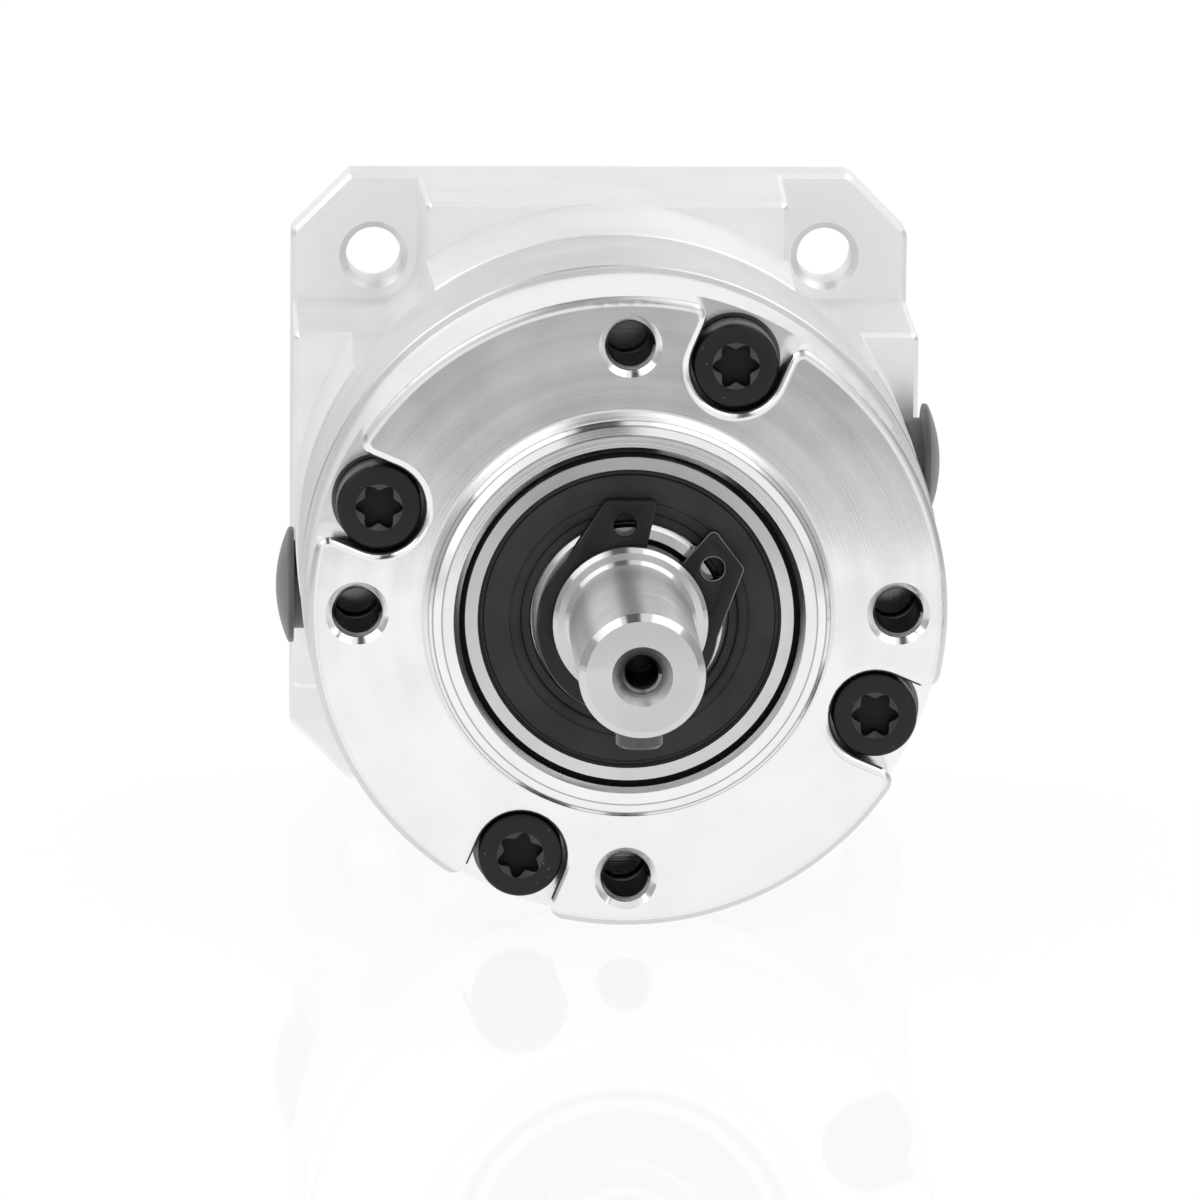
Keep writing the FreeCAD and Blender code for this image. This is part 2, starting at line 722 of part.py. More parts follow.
def circlip(groove_radius, front, gap_angle):
    # An external retaining ring with two ears. The ring is widest opposite its gap.
    ear_radius = groove_radius + CIRCLIP_EAR
    ring_outer = groove_radius + CIRCLIP_WIDTH
    rear = front + CIRCLIP_THICKNESS
    body = rod(ring_outer, front, rear, at(-CIRCLIP_OFFSET, 0, 0))
    for side in (-1, 1):
        corners = [
            ORIGIN,
            polar(ear_radius, side * CIRCLIP_EAR_START),
            polar(ear_radius, side * CIRCLIP_EAR_END),
            polar(ring_outer - CIRCLIP_OFFSET / 2, side * CIRCLIP_EAR_ROOT),
        ]
        ear = prism(Part.makePolygon(corners + corners[:1]), front, rear)
        tips = [e for e in ear.Edges if e.BoundBox.YLength > CIRCLIP_THICKNESS / 2]
        tips = [e for e in tips if at(e.BoundBox.XMin, 0, e.BoundBox.ZMin).Length > ear_radius - SIDE_GAP]
        body = body.fuse(ear.makeFillet(CIRCLIP_EAR_CORNER, tips))
    gap_reach = 2 * ear_radius
    gap = [ORIGIN, polar(gap_reach, -CIRCLIP_EAR_START), polar(gap_reach, CIRCLIP_EAR_START), ORIGIN]
    body = body.cut(prism(Part.makePolygon(gap), front, rear))
    body = body.cut(rod(groove_radius + PRESS_GAP, front, rear))
    for side in (-1, 1):
        centre = polar(ear_radius - CIRCLIP_HOLE_INSET, side * CIRCLIP_HOLE_ANGLE)
        body = body.cut(rod(CIRCLIP_HOLE_DIAMETER / 2, front, rear, centre))
    return around(body.removeSplitter(), gap_angle)


def shaft_circlip():
    return circlip(seat_radius - GROOVE_DEPTH, groove_front + GROOVE_PLAY, CIRCLIP_GAP_ANGLE)


# Input hub with sun gear and clamp

def input_circlip():
    groove = INPUT_BORE / 2 - INPUT_GROOVE_DEPTH
    return circlip(groove, input_groove + GROOVE_PLAY, INPUT_CIRCLIP_ANGLE)


def along_x(radius, start, end, depth, height):
    low = min(start, end)
    return Part.makeCylinder(radius, abs(end - start), at(low, depth, height), at(1, 0, 0))


def input_hub():
    seat = INPUT_BORE / 2
    shoulder = seat + HUB_SHOULDER_WIDTH
    hub = turned([
        (0, hub_front),
        (seat, hub_front),
        (seat, input_groove),
        (seat - INPUT_GROOVE_DEPTH, input_groove),
        (seat - INPUT_GROOVE_DEPTH, input_bearing),
        (seat, input_bearing),
        (seat, input_rear),
        (shoulder, input_rear),
        (shoulder, clamp_front),
        (hub_radius - HUB_CHAMFER, clamp_front),
        (hub_radius, clamp_front + HUB_CHAMFER),
        (hub_radius, hub_rear - HUB_CHAMFER),
        (hub_radius - HUB_CHAMFER, hub_rear),
        (0, hub_rear),
    ])
    teeth = gear_wire(SUN_TEETH, sun_tip, sun_root, -TOOTH_THINNING, FIRST_PLANET_ANGLE)
    hub = hub.fuse(prism(teeth, planet_front, hub_front))
    bore_end = input_bearing + MOTOR_SHAFT_FLOOR
    hub = hub.cut(rod(motor_shaft_radius, bore_end, hub_rear))
    lead = motor_shaft_radius + MOTOR_SHAFT_LEAD
    hub = hub.cut(cone(motor_shaft_radius, lead, hub_rear - MOTOR_SHAFT_LEAD, hub_rear))
    slit_front = clamp_front + SLIT_SETBACK
    slit = Part.makeBox(SLIT_WIDTH, hub_rear - slit_front, 2 * hub_radius)
    hub = hub.cut(slit.translated(at(-SLIT_WIDTH / 2, slit_front, -hub_radius)))
    head_room = CLAMP_HEAD_DIAMETER / 2 + CLAMP_HEAD_GAP
    thread = CLAMP_SCREW_DIAMETER / 2 + PRESS_GAP
    for side in (-1, 1):
        height = side * clamp_offset
        hub = hub.cut(along_x(head_room, side * CLAMP_SCREW_SEAT, side * hub_radius, clamp_axis, height))
        hub = hub.cut(along_x(clamp_hole_radius, 0, side * CLAMP_SCREW_SEAT, clamp_axis, height))
        hub = hub.cut(along_x(thread, 0, -side * hub_radius, clamp_axis, height))
    return hub


def clamp_screw(side):
    seat = side * CLAMP_SCREW_SEAT
    top = side * (CLAMP_SCREW_SEAT + CLAMP_HEAD_HEIGHT)
    tip = side * (CLAMP_SCREW_SEAT - CLAMP_SCREW_LENGTH)
    height = side * clamp_offset
    screw = along_x(CLAMP_HEAD_DIAMETER / 2, seat, top, clamp_axis, height)
    screw = screw.fuse(along_x(CLAMP_SCREW_DIAMETER / 2, tip, seat, clamp_axis, height))
    corner = CLAMP_KEY_WIDTH / math.sqrt(3)
    corners = [at(0, corner * math.cos(turn), corner * math.sin(turn))
               for turn in map(math.radians, ring_of(LOBE_COUNT))]
    socket = Part.Face(Part.makePolygon(corners + corners[:1]))
    socket = socket.extrude(at(-side * CLAMP_KEY_DEPTH, 0, 0))
    return screw.cut(socket.translated(at(top, clamp_axis, height)))


def clamp_screws():
    return Part.makeCompound([clamp_screw(side) for side in (-1, 1)])


# Motor adapter and plugs

def notch_wall(depth):
    # The notch walls lean so that the notch widens to the front.
    return motor_half - NOTCH_RADIUS - (pad_face - depth) * math.tan(math.radians(NOTCH_DRAFT))


def notch_wire(depth):
    # The open corner of the adapter at one depth.
    wall = notch_wall(depth)
    far = 2 * frame_half
    centre = wall + NOTCH_RADIUS
    diagonal = centre - NOTCH_RADIUS / math.sqrt(2)
    edges = [
        line(at(wall, depth, far), at(wall, depth, centre)),
        arc(at(wall, depth, centre), at(diagonal, depth, diagonal), at(centre, depth, wall)),
        line(at(centre, depth, wall), at(far, depth, wall)),
        line(at(far, depth, wall), at(far, depth, far)),
        line(at(far, depth, far), at(wall, depth, far)),
    ]
    return Part.Wire(edges)


def cross_wire(depth, inset):
    # The outline of the block at one depth: a square with open corners and rounded arms.
    wall = notch_wall(depth)
    outer = frame_half - inset
    side = wall - inset
    centre = wall + NOTCH_RADIUS
    diagonal = centre - (NOTCH_RADIUS + inset) / math.sqrt(2)
    near = wall - BLOCK_CORNER
    far = frame_half - BLOCK_CORNER
    bulge = (BLOCK_CORNER - inset) / math.sqrt(2)
    quarter = [
        arc(at(near, depth, outer), at(near + bulge, depth, far + bulge), at(side, depth, far)),
        line(at(side, depth, far), at(side, depth, centre)),
        arc(at(side, depth, centre), at(diagonal, depth, diagonal), at(centre, depth, side)),
        line(at(centre, depth, side), at(far, depth, side)),
        arc(at(far, depth, side), at(far + bulge, depth, near + bulge), at(outer, depth, near)),
        line(at(outer, depth, near), at(outer, depth, -near)),
    ]
    return Part.Wire([around(edge, -90 * turn) for turn in range(4) for edge in quarter])


def pad_plate():
    near = frame_half - PAD_CORNER
    half = [(near, frame_half), (frame_half, near)]
    corners = []
    for turn in range(4):
        corners += [around(Part.Vertex(at(x, 0, z)), -90 * turn).Point for x, z in half]
    plate = prism(Part.makePolygon(corners + corners[:1]), pad_face, motor_face)
    upright = [e for e in plate.Edges if e.BoundBox.YLength > PAD_THICKNESS / 2]
    plate = plate.makeFillet(PAD_CORNER_RADIUS, upright)
    rims = edges_on_depth(plate, pad_face) + edges_on_depth(plate, motor_face)
    return plate.makeChamfer(PAD_EDGE, rims)


def motor_block():
    # A bevelled block that stands on the plate. Its arms run on into the plate.
    sections = [
        cross_wire(block_front, BLOCK_EDGE),
        cross_wire(block_front + BLOCK_EDGE, 0),
        cross_wire(motor_face - PAD_EDGE, 0),
    ]
    return Part.makeLoft(sections, True, True)


def motor_adapter():
    boss = turned([
        (0, ring_rear),
        (boss_radius - BAND_CHAMFER, ring_rear),
        (boss_radius, ring_rear + BAND_CHAMFER),
        (boss_radius, pad_face),
        (0, pad_face),
    ])
    notch = Part.makeLoft([notch_wire(ring_rear), notch_wire(pad_face)], True, True)
    for turn in range(4):
        boss = boss.cut(around(notch, 90 * turn))
    body = boss.fuse([motor_block(), pad_plate(), spigot(ring_rear, -1, input_radius)])
    body = body.cut(rod(input_radius + PRESS_GAP, ring_rear - SPIGOT_LENGTH, input_rear))
    body = body.cut(rod(cavity_radius, input_rear, motor_face))
    pilot_bore = MOTOR_PILOT_DIAMETER / 2
    body = body.cut(rod(pilot_bore, motor_face - MOTOR_PILOT_DEPTH, motor_face))
    pilot_mouth = pilot_bore + MOTOR_PILOT_CHAMFER
    body = body.cut(cone(pilot_bore, pilot_mouth, motor_face - MOTOR_PILOT_CHAMFER, motor_face))
    for across in (-motor_half, motor_half):
        for height in (-motor_half, motor_half):
            centre = at(across, 0, height)
            hole = MOTOR_HOLE_DIAMETER / 2
            mouth = hole + MOTOR_HOLE_CHAMFER
            body = body.cut(rod(hole, pad_face, motor_face, centre))
            body = body.cut(cone(mouth, hole, pad_face, pad_face + MOTOR_HOLE_CHAMFER, centre))
    thread = SCREW_DIAMETER / 2 + PRESS_GAP
    for angle in ring_of(SCREW_COUNT, SCREW_FIRST_ANGLE):
        body = body.cut(rod(thread, ring_rear, screw_tip + SCREW_DRILL_OVER, polar(hole_circle, angle)))
    for side in (-1, 1):
        way_in = along_x(access_radius, 0, side * 2 * boss_radius, clamp_axis, side * clamp_offset)
        body = body.cut(way_in)
    return body.removeSplitter()


def access_plug(side):
    # A stem with a domed cap, turned about its own axis and then laid along X.
    stem = PLUG_STEM_DIAMETER / 2
    top = PLUG_CAP_RIM + PLUG_DOME
    sphere = (cap_radius ** 2 + PLUG_DOME ** 2) / 2 / PLUG_DOME
    half_turn = math.asin(cap_radius / sphere) / 2
    crown = at(sphere * math.sin(half_turn), top - sphere + sphere * math.cos(half_turn), 0)
    corners = [
        at(0, top, 0),
        at(0, -PLUG_STEM_LENGTH, 0),
        at(stem - PLUG_STEM_CHAMFER, -PLUG_STEM_LENGTH, 0),
        at(stem, PLUG_STEM_CHAMFER - PLUG_STEM_LENGTH, 0),
        at(stem, 0, 0),
        at(cap_radius, 0, 0),
        at(cap_radius, PLUG_CAP_RIM, 0),
    ]
    edges = [line(start, end) for start, end in zip(corners, corners[1:])]
    edges.append(arc(corners[-1], crown, corners[0]))
    plug = Part.Face(Part.Wire(edges)).revolve(ORIGIN, ALONG, 360)
    plug = plug.rotated(ORIGIN, at(0, 0, 1), -90 * side)
    seat = boss_radius + PLUG_SEAT_GAP
    return plug.translated(at(side * seat, clamp_axis, side * clamp_offset))


# All pieces

def pieces():
    front = output_bearing(front_bearing)
    rear = output_bearing(rear_bearing)
    inlet = input_ball_bearing()
    made = {
        "output_flange": output_flange(),
        "flange_screws": flange_screws(),
        "flange_o_ring": o_ring(flange_rear, 1),
        "ring_gear": ring_gear(),
        "adapter_o_ring": o_ring(ring_rear, -1),
        "motor_adapter": motor_adapter(),
        "left_access_plug": access_plug(-1),
        "right_access_plug": access_plug(1),
        "output_shaft": output_shaft(),
        "shaft_key": shaft_key(),
        "shaft_circlip": shaft_circlip(),
        "bearing_spacer": bearing_spacer(),
        "planet_thrust_washers": thrust_washers(),
        "input_hub": input_hub(),
        "input_circlip": input_circlip(),
        "clamp_screws": clamp_screws(),
    }
    for name, bearing in (("front", front), ("rear", rear), ("input", inlet)):
        made[name + "_bearing_outer_ring"] = bearing.outer_ring()
        made[name + "_bearing_inner_ring"] = bearing.inner_ring()
        made[name + "_bearing_balls"] = bearing.balls()
        made[name + "_bearing_cage"] = bearing.cage()
        made[name + "_bearing_seals"] = bearing.seals()
    for number, angle in enumerate(planet_angles(), start=1):
        made["planet_gear_%d" % number] = planet_gear(angle)
        made["planet_bush_%d" % number] = planet_bush(angle)
        made["planet_pin_%d" % number] = planet_pin(angle)
    return made


os.makedirs("parts", exist_ok=True)
for node, shape in pieces().items():
    shape.exportStep("parts/" + node + ".step")
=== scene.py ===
import logging
import math
from collections.abc import Callable, Iterator
from contextlib import contextmanager
from dataclasses import dataclass
from enum import Enum

import bmesh
import bpy
from mathutils import Matrix, Quaternion, Vector


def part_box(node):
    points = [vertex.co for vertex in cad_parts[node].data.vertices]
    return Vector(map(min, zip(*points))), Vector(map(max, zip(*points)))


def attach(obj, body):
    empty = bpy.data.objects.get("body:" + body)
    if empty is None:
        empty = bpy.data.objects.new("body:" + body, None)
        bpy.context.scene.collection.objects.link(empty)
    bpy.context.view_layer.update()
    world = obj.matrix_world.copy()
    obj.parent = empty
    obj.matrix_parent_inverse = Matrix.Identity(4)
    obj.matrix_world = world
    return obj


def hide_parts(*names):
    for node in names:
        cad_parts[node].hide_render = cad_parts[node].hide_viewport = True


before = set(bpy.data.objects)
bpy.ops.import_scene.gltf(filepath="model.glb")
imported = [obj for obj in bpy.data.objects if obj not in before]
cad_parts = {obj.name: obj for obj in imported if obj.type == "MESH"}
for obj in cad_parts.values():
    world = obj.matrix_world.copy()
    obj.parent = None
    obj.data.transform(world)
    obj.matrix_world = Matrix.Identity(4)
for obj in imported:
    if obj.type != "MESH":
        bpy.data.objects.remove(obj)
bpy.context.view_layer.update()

# Looks of a planetary gearhead. Lengths are millimetres until they reach a mesh, which is in metres.
# The shaft axis is Y, the shaft end points to -Y and Z is up.
log = logging.getLogger("gearhead")
MM = 0.001
FULL_TURN = 2.0 * math.pi
QUARTER_TURN = 0.25
MERGE_DISTANCE = 0.0005 * MM
FLAT_ANGLE = 1.0
CUTTER_REACH = 1.0

# Screws and tapped holes share one circle on the flange.
HOLE_CIRCLE = 17.5
HOLE_COUNT = 4
FIRST_SCREW_ANGLE = 67.0

# The clamp screws lie behind the access plugs, at this depth and on either side of the middle.
ACCESS_DEPTH = 32.1
ACCESS_HEIGHT = 4.24

# Surface textures in features per millimetre, the noise values where each effect rises, and a tone of grey
SLOW_TONES = 0.9
SPECKS = 3.1
SMUDGE_RISE = (0.32, 0.68)
SPECK_RISE = (0.74, 0.8)
SPECK_TONE = 0.5

Colour = tuple[float, float, float]
Profile = list[tuple[float, float]]
WHITE: Colour = (1.0, 1.0, 1.0)


class Axis(Enum):
    """The axis that a turned piece spins about."""

    X = "X"
    Y = "Y"


class Lay(Enum):
    """The direction that tool marks take on a metal."""

    TURNED = "turned"
    BLASTED = "blasted"


# Modelling tools

def deselect() -> None:
    """Leaves nothing selected."""
    bpy.ops.object.select_all(action="DESELECT")


def activate(piece: bpy.types.Object) -> None:
    """Makes one object the only selected and the active one.

    Args:
        piece: The object to work on.
    """
    deselect()
    piece.select_set(True)
    bpy.context.view_layer.objects.active = piece


@contextmanager
def editing(piece: bpy.types.Object) -> Iterator[None]:
    """Opens edit mode on a piece with everything selected and closes it again.

    Args:
        piece: The object to edit.

    Returns:
        A context for edit operators.
    """
    activate(piece)
    bpy.ops.object.mode_set(mode="EDIT")
    bpy.ops.mesh.select_mode(type="VERT")
    bpy.ops.mesh.select_all(action="SELECT")
    yield
    bpy.ops.object.mode_set(mode="OBJECT")


def select_points(piece: bpy.types.Object, test: Callable[[Vector], bool]) -> None:
    """Selects the vertices of a piece in edit mode by their place.

    Args:
        piece: The object in edit mode.
        test: Says whether a vertex at this place is wanted.
    """
    mesh = bmesh.from_edit_mesh(piece.data)
    for point in mesh.verts:
        point.select = test(point.co)
    mesh.select_flush_mode()
    bmesh.update_edit_mesh(piece.data)


def tidy_shell() -> None:
    """Merges doubles and turns the faces outwards, in edit mode."""
    bpy.ops.mesh.select_all(action="SELECT")
    bpy.ops.mesh.remove_doubles(threshold=MERGE_DISTANCE)
    bpy.ops.mesh.normals_make_consistent(inside=False)


def finish_modifier(piece: bpy.types.Object, kind: str, **settings: object) -> None:
    """Adds a modifier, sets it and applies it.

    Args:
        piece: The object to change.
        kind: Blender's name of the modifier type.
        settings: Values for the modifier.
    """
    activate(piece)
    bpy.ops.object.modifier_add(type=kind)
    modifier = piece.modifiers[-1]
    for key, value in settings.items():
        setattr(modifier, key, value)
    bpy.ops.object.modifier_apply(modifier=modifier.name)


def round_edges(
    piece: bpy.types.Object, width: float, segments: int = 3, angle: float = 28.0, material: int = -1
) -> None:
    """Rounds every edge that is sharper than an angle.

    Args:
        piece: The object to change.
        width: Bevel width in millimetres.
        segments: Faces across the bevel.
        angle: Smallest edge angle in degrees.
        material: Place of the rounded faces' material on the piece, or -1 for that of their neighbours.
    """
    finish_modifier(
        piece, "BEVEL", width=width * MM, segments=segments, material=material,
        limit_method="ANGLE", angle_limit=math.radians(angle),
    )


def shade(piece: bpy.types.Object, angle: float = 32.0) -> None:
    """Shades a piece smooth up to an edge angle in degrees."""
    activate(piece)
    bpy.ops.object.shade_smooth_by_angle(angle=math.radians(angle))


def copied(piece: bpy.types.Object, name: str, change: Matrix) -> bpy.types.Object:
    """Copies a piece with a mesh of its own.

    Args:
        piece: The pattern.
        name: Name of the copy.
        change: Matrix in metres that moves the copy to its place.

    Returns:
        The copy.
    """
    twin = piece.copy()
    twin.data = piece.data.copy()
    twin.name = name
    twin.data.name = name
    twin.data.transform(change)
    bpy.context.scene.collection.objects.link(twin)
    return twin


def drawn_line(name: str, points: list[Vector]) -> bpy.types.Object:
    """Draws a line of edges by extruding one vertex from place to place.

    Args:
        name: Name of the new object.
        points: The places in millimetres.

    Returns:
        The new object.
    """
    deselect()
    bpy.ops.mesh.primitive_plane_add(size=MM)
    piece = bpy.context.object
    piece.name = name
    piece.data.name = name
    with editing(piece):
        bpy.ops.mesh.merge(type="CENTER")
        bpy.ops.transform.translate(value=points[0] * MM)
        for start, end in zip(points, points[1:]):
            bpy.ops.mesh.extrude_vertices_move(TRANSFORM_OT_translate={"value": (end - start) * MM})
    return piece


def turned(name: str, profile: Profile, axis: Axis = Axis.Y, steps: int = 72) -> bpy.types.Object:
    """Spins a drawn half section to a turned piece about an axis through the origin.

    Args:
        name: Name of the piece.
        profile: Radius and place along the axis of each corner.
        axis: The axis of the spin.
        steps: Faces round the piece.

    Returns:
        The turned piece.
    """
    if axis is Axis.Y:
        points = [Vector((radius, along, 0.0)) for radius, along in profile]
        direction = (0.0, 1.0, 0.0)
    else:
        points = [Vector((along, 0.0, radius)) for radius, along in profile]
        direction = (1.0, 0.0, 0.0)
    piece = drawn_line(name, points)
    with editing(piece):
        bpy.ops.mesh.spin(steps=steps, angle=FULL_TURN, center=(0.0, 0.0, 0.0), axis=direction)
        tidy_shell()
    return piece


def ring_of(count: int, first: float) -> list[float]:
    """Lists evenly spaced angles in degrees, from a first angle."""
    return [first + 360.0 * index / count for index in range(count)]


def polar(radius: float, angle: float) -> Vector:
    """Gives the place on a circle round the shaft axis, in millimetres, at an angle in degrees."""
    turn = math.radians(angle)
    return Vector((radius * math.cos(turn), 0.0, radius * math.sin(turn)))


def prism(name: str, corners: int, radius: float, depth: float) -> bpy.types.Object:
    """Makes a prism along Y that starts in front of the origin plane and cuts to a depth behind it.

    Args:
        name: Name of the object.
        corners: Corners of its outline.
        radius: Radius of the corners in millimetres.
        depth: How far it cuts, in millimetres.

    Returns:
        The prism.
    """
    deselect()
    bpy.ops.mesh.primitive_circle_add(
        vertices=corners, radius=radius * MM, fill_type="NGON",
        location=(0.0, -CUTTER_REACH * MM, 0.0), rotation=(math.pi / 2, 0.0, 0.0),
    )
    piece = bpy.context.object
    piece.name = name
    bpy.ops.object.transform_apply(location=True, rotation=True, scale=True)
    with editing(piece):
        whole = (0.0, (depth + CUTTER_REACH) * MM, 0.0)
        bpy.ops.mesh.extrude_region_move(TRANSFORM_OT_translate={"value": whole})
        tidy_shell()
    return piece


def cut_out(piece: bpy.types.Object, cutter: bpy.types.Object) -> None:
    """Cuts one object out of another and removes the cutter. The cut faces take the cutter's material.

    Args:
        piece: The object to cut.
        cutter: The shape to take away.
    """
    finish_modifier(
        piece, "BOOLEAN", operation="DIFFERENCE", solver="EXACT", material_mode="TRANSFER", object=cutter
    )
    bpy.data.objects.remove(cutter)


def join(piece: bpy.types.Object, other: bpy.types.Object) -> None:
    """Joins another mesh into a piece.

    Args:
        piece: The object that keeps its name.
        other: The object that goes into it.
    """
    activate(piece)
    other.select_set(True)
    bpy.ops.object.join()


@dataclass(frozen=True)
class Thread:
    """A screw thread as one ridge that winds round the Y axis, in millimetres."""

    root: float
    crest: float
    pitch: float
    start: float
    length: float
    steps: int = 28
    root_share: float = 0.44
    crest_share: float = 0.08

    def ridge(self, name: str) -> bpy.types.Object:
        """Winds the ridge.

        Args:
            name: Name of the new object.

        Returns:
            A closed coil with a triangular section.
        """
        half = self.root_share * self.pitch
        tip = self.crest_share * self.pitch
        section = [
            (self.root, -half), (self.crest, -tip), (self.crest, tip),
            (self.root, half), (self.root, -half),
        ]
        points = [Vector((radius, self.start + along, 0.0)) for radius, along in section]
        coil = drawn_line(name, points)
        with editing(coil):
            bpy.ops.mesh.remove_doubles(threshold=MERGE_DISTANCE)
        finish_modifier(
            coil, "SCREW", axis="Y", angle=FULL_TURN, screw_offset=self.pitch * MM,
            iterations=int(self.length / self.pitch), steps=self.steps, render_steps=self.steps,
        )
        with editing(coil):
            bpy.ops.mesh.fill_holes(sides=len(section))
            tidy_shell()
        return coil


@dataclass(frozen=True)
class ScrewBlank:
    """A headed screw along Y with its head face at the origin plane, before its socket is cut."""

    head_radius: float
    head_height: float
    head_edge: float
    edge_faces: int
    shank_radius: float
    core_radius: float
    thread_start: float
    end: float
    neck: float
    point: float
    point_drop: float
    pitch: float
    run_out: float
    faces: int = 72
    thread_faces: int = 28
    head_angle: float = 60.0
    sink: float = 0.03
    room: float = 0.01
    lead: float = 0.3
    smooth_angle: float = 30.0

    def body(self, name: str) -> bpy.types.Object:
        """Turns head, shank and core, and rounds the head.

        Args:
            name: Name of the new object.

        Returns:
            The screw without its thread.
        """
        head = (self.head_radius, self.head_height)
        neck = self.thread_start - self.neck
        point = self.core_radius - self.point_drop
        screw = turned(name, [
            (0.0, 0.0), (self.head_radius, 0.0), head, (self.shank_radius, self.head_height),
            (self.shank_radius, neck), (self.core_radius, self.thread_start),
            (self.core_radius, self.end - self.point), (point, self.end), (0.0, self.end),
        ], steps=self.faces)
        round_edges(screw, self.head_edge, segments=self.edge_faces, angle=self.head_angle)
        return screw

    def add_thread(self, screw: bpy.types.Object) -> None:
        """Winds the thread onto the core of a screw.

        Args:
            screw: The screw whose socket is cut.
        """
        thread = Thread(
            self.core_radius - self.sink, self.shank_radius - self.room, self.pitch,
            self.thread_start + self.lead, self.end - self.thread_start - self.run_out,
            self.thread_faces,
        )
        join(screw, thread.ridge("screw_thread"))
        shade(screw, self.smooth_angle)


# Shader node tools

class Sheet:
    """Adds and links the nodes of one node tree."""

    def __init__(self, tree: bpy.types.NodeTree) -> None:
        """Keeps the tree that the nodes go into."""
        self.tree = tree

    def add(self, kind: str, **settings: object) -> bpy.types.Node:
        """Adds a node and sets it.

        Args:
            kind: Blender's name of the node type.
            settings: Values for the node.

        Returns:
            The new node.
        """
        node = self.tree.nodes.new(kind)
        for key, value in settings.items():
            setattr(node, key, value)
        return node

    def put(self, socket: bpy.types.NodeSocket, value: object) -> None:
        """Links an output to a socket, or sets the socket to a plain value.

        Args:
            socket: The input socket.
            value: An output socket or a plain value.
        """
        if isinstance(value, bpy.types.NodeSocket):
            self.tree.links.new(value, socket)
        else:
            socket.default_value = value

    def math(self, operation: str, *values: object) -> bpy.types.NodeSocket:
        """Adds a Math node.

        Args:
            operation: Blender's name of the operation.
            values: Output sockets or plain numbers.

        Returns:
            Its result.
        """
        node = self.add("ShaderNodeMath", operation=operation)
        for socket, value in zip(node.inputs, values):
            self.put(socket, value)
        return node.outputs[0]

    def blend(self, share: object, first: object, second: object) -> bpy.types.NodeSocket:
        """Mixes two colours.

        Args:
            share: How much of the second colour shows.
            first: First colour.
            second: Second colour.

        Returns:
            The mixed colour.
        """
        node = self.add("ShaderNodeMix", data_type="RGBA")
        self.put(node.inputs["Factor"], share)
        self.put(node.inputs[6], first)
        self.put(node.inputs[7], second)
        return node.outputs[2]

    def mix(self, share: object, first: object, second: object) -> bpy.types.NodeSocket:
        """Mixes two shaders.

        Args:
            share: How much of the second shader shows.
            first: First shader.
            second: Second shader.

        Returns:
            The mixed shader.
        """
        node = self.add("ShaderNodeMixShader")
        for socket, value in zip(node.inputs, (share, first, second)):
            self.put(socket, value)
        return node.outputs[0]

    def ramp(self, value: object, low: float, high: float) -> bpy.types.NodeSocket:
        """Maps a value smoothly from 0 at a low to 1 at a high mark.

        Args:
            value: The value to map.
            low: Where the result starts to rise.
            high: Where the result reaches 1.

        Returns:
            The mapped value.
        """
        node = self.add("ShaderNodeMapRange", interpolation_type="SMOOTHSTEP")
        self.put(node.inputs["Value"], value)
        node.inputs["From Min"].default_value = low
        node.inputs["From Max"].default_value = high
        return node.outputs["Result"]

    def noise(self, dimensions: str, place: object, scale: object, detail: float) -> bpy.types.NodeSocket:
        """Adds a noise texture.

        Args:
            dimensions: 1D or 3D.
            place: Where the noise is read.
            scale: Features per unit of length.
            detail: Octaves.

        Returns:
            The noise between 0 and 1.
        """
        node = self.add("ShaderNodeTexNoise", noise_dimensions=dimensions)
        self.put(node.inputs["W" if dimensions == "1D" else "Vector"], place)
        self.put(node.inputs["Scale"], scale)
        node.inputs["Detail"].default_value = detail
        return node.outputs[0]

    def place(self) -> bpy.types.NodeSocket:
        """Gives the place on the object in millimetres."""
        coordinate = self.add("ShaderNodeTexCoord")
        node = self.add("ShaderNodeVectorMath", operation="SCALE")
        self.put(node.inputs[0], coordinate.outputs["Object"])
        node.inputs["Scale"].default_value = 1.0 / MM
        return node.outputs[0]

    def radius_and_depth(self) -> tuple[bpy.types.NodeSocket, bpy.types.NodeSocket]:
        """Gives the distance from the shaft axis and the depth along it, in millimetres."""
        parts = self.add("ShaderNodeSeparateXYZ")
        self.put(parts.inputs[0], self.place())
        across = self.math("MULTIPLY", parts.outputs["X"], parts.outputs["X"])
        height = self.math("MULTIPLY", parts.outputs["Z"], parts.outputs["Z"])
        radius = self.math("SQRT", self.math("ADD", across, height))
        return radius, parts.outputs["Y"]


def new_group(
    name: str, inputs: dict[str, float], outputs: list[str]
) -> tuple[Sheet, bpy.types.Node, bpy.types.Node]:
    """Starts a shader node group.

    Args:
        name: Name of the group.
        inputs: Name and usual value of each input number.
        outputs: Names of the output numbers.

    Returns:
        The group's sheet, its input node and its output node.
    """
    tree = bpy.data.node_groups.new(name, "ShaderNodeTree")
    for label, value in inputs.items():
        socket = tree.interface.new_socket(name=label, in_out="INPUT", socket_type="NodeSocketFloat")
        socket.default_value = value
    for label in outputs:
        tree.interface.new_socket(name=label, in_out="OUTPUT", socket_type="NodeSocketFloat")
    sheet = Sheet(tree)
    return sheet, sheet.add("NodeGroupInput"), sheet.add("NodeGroupOutput")


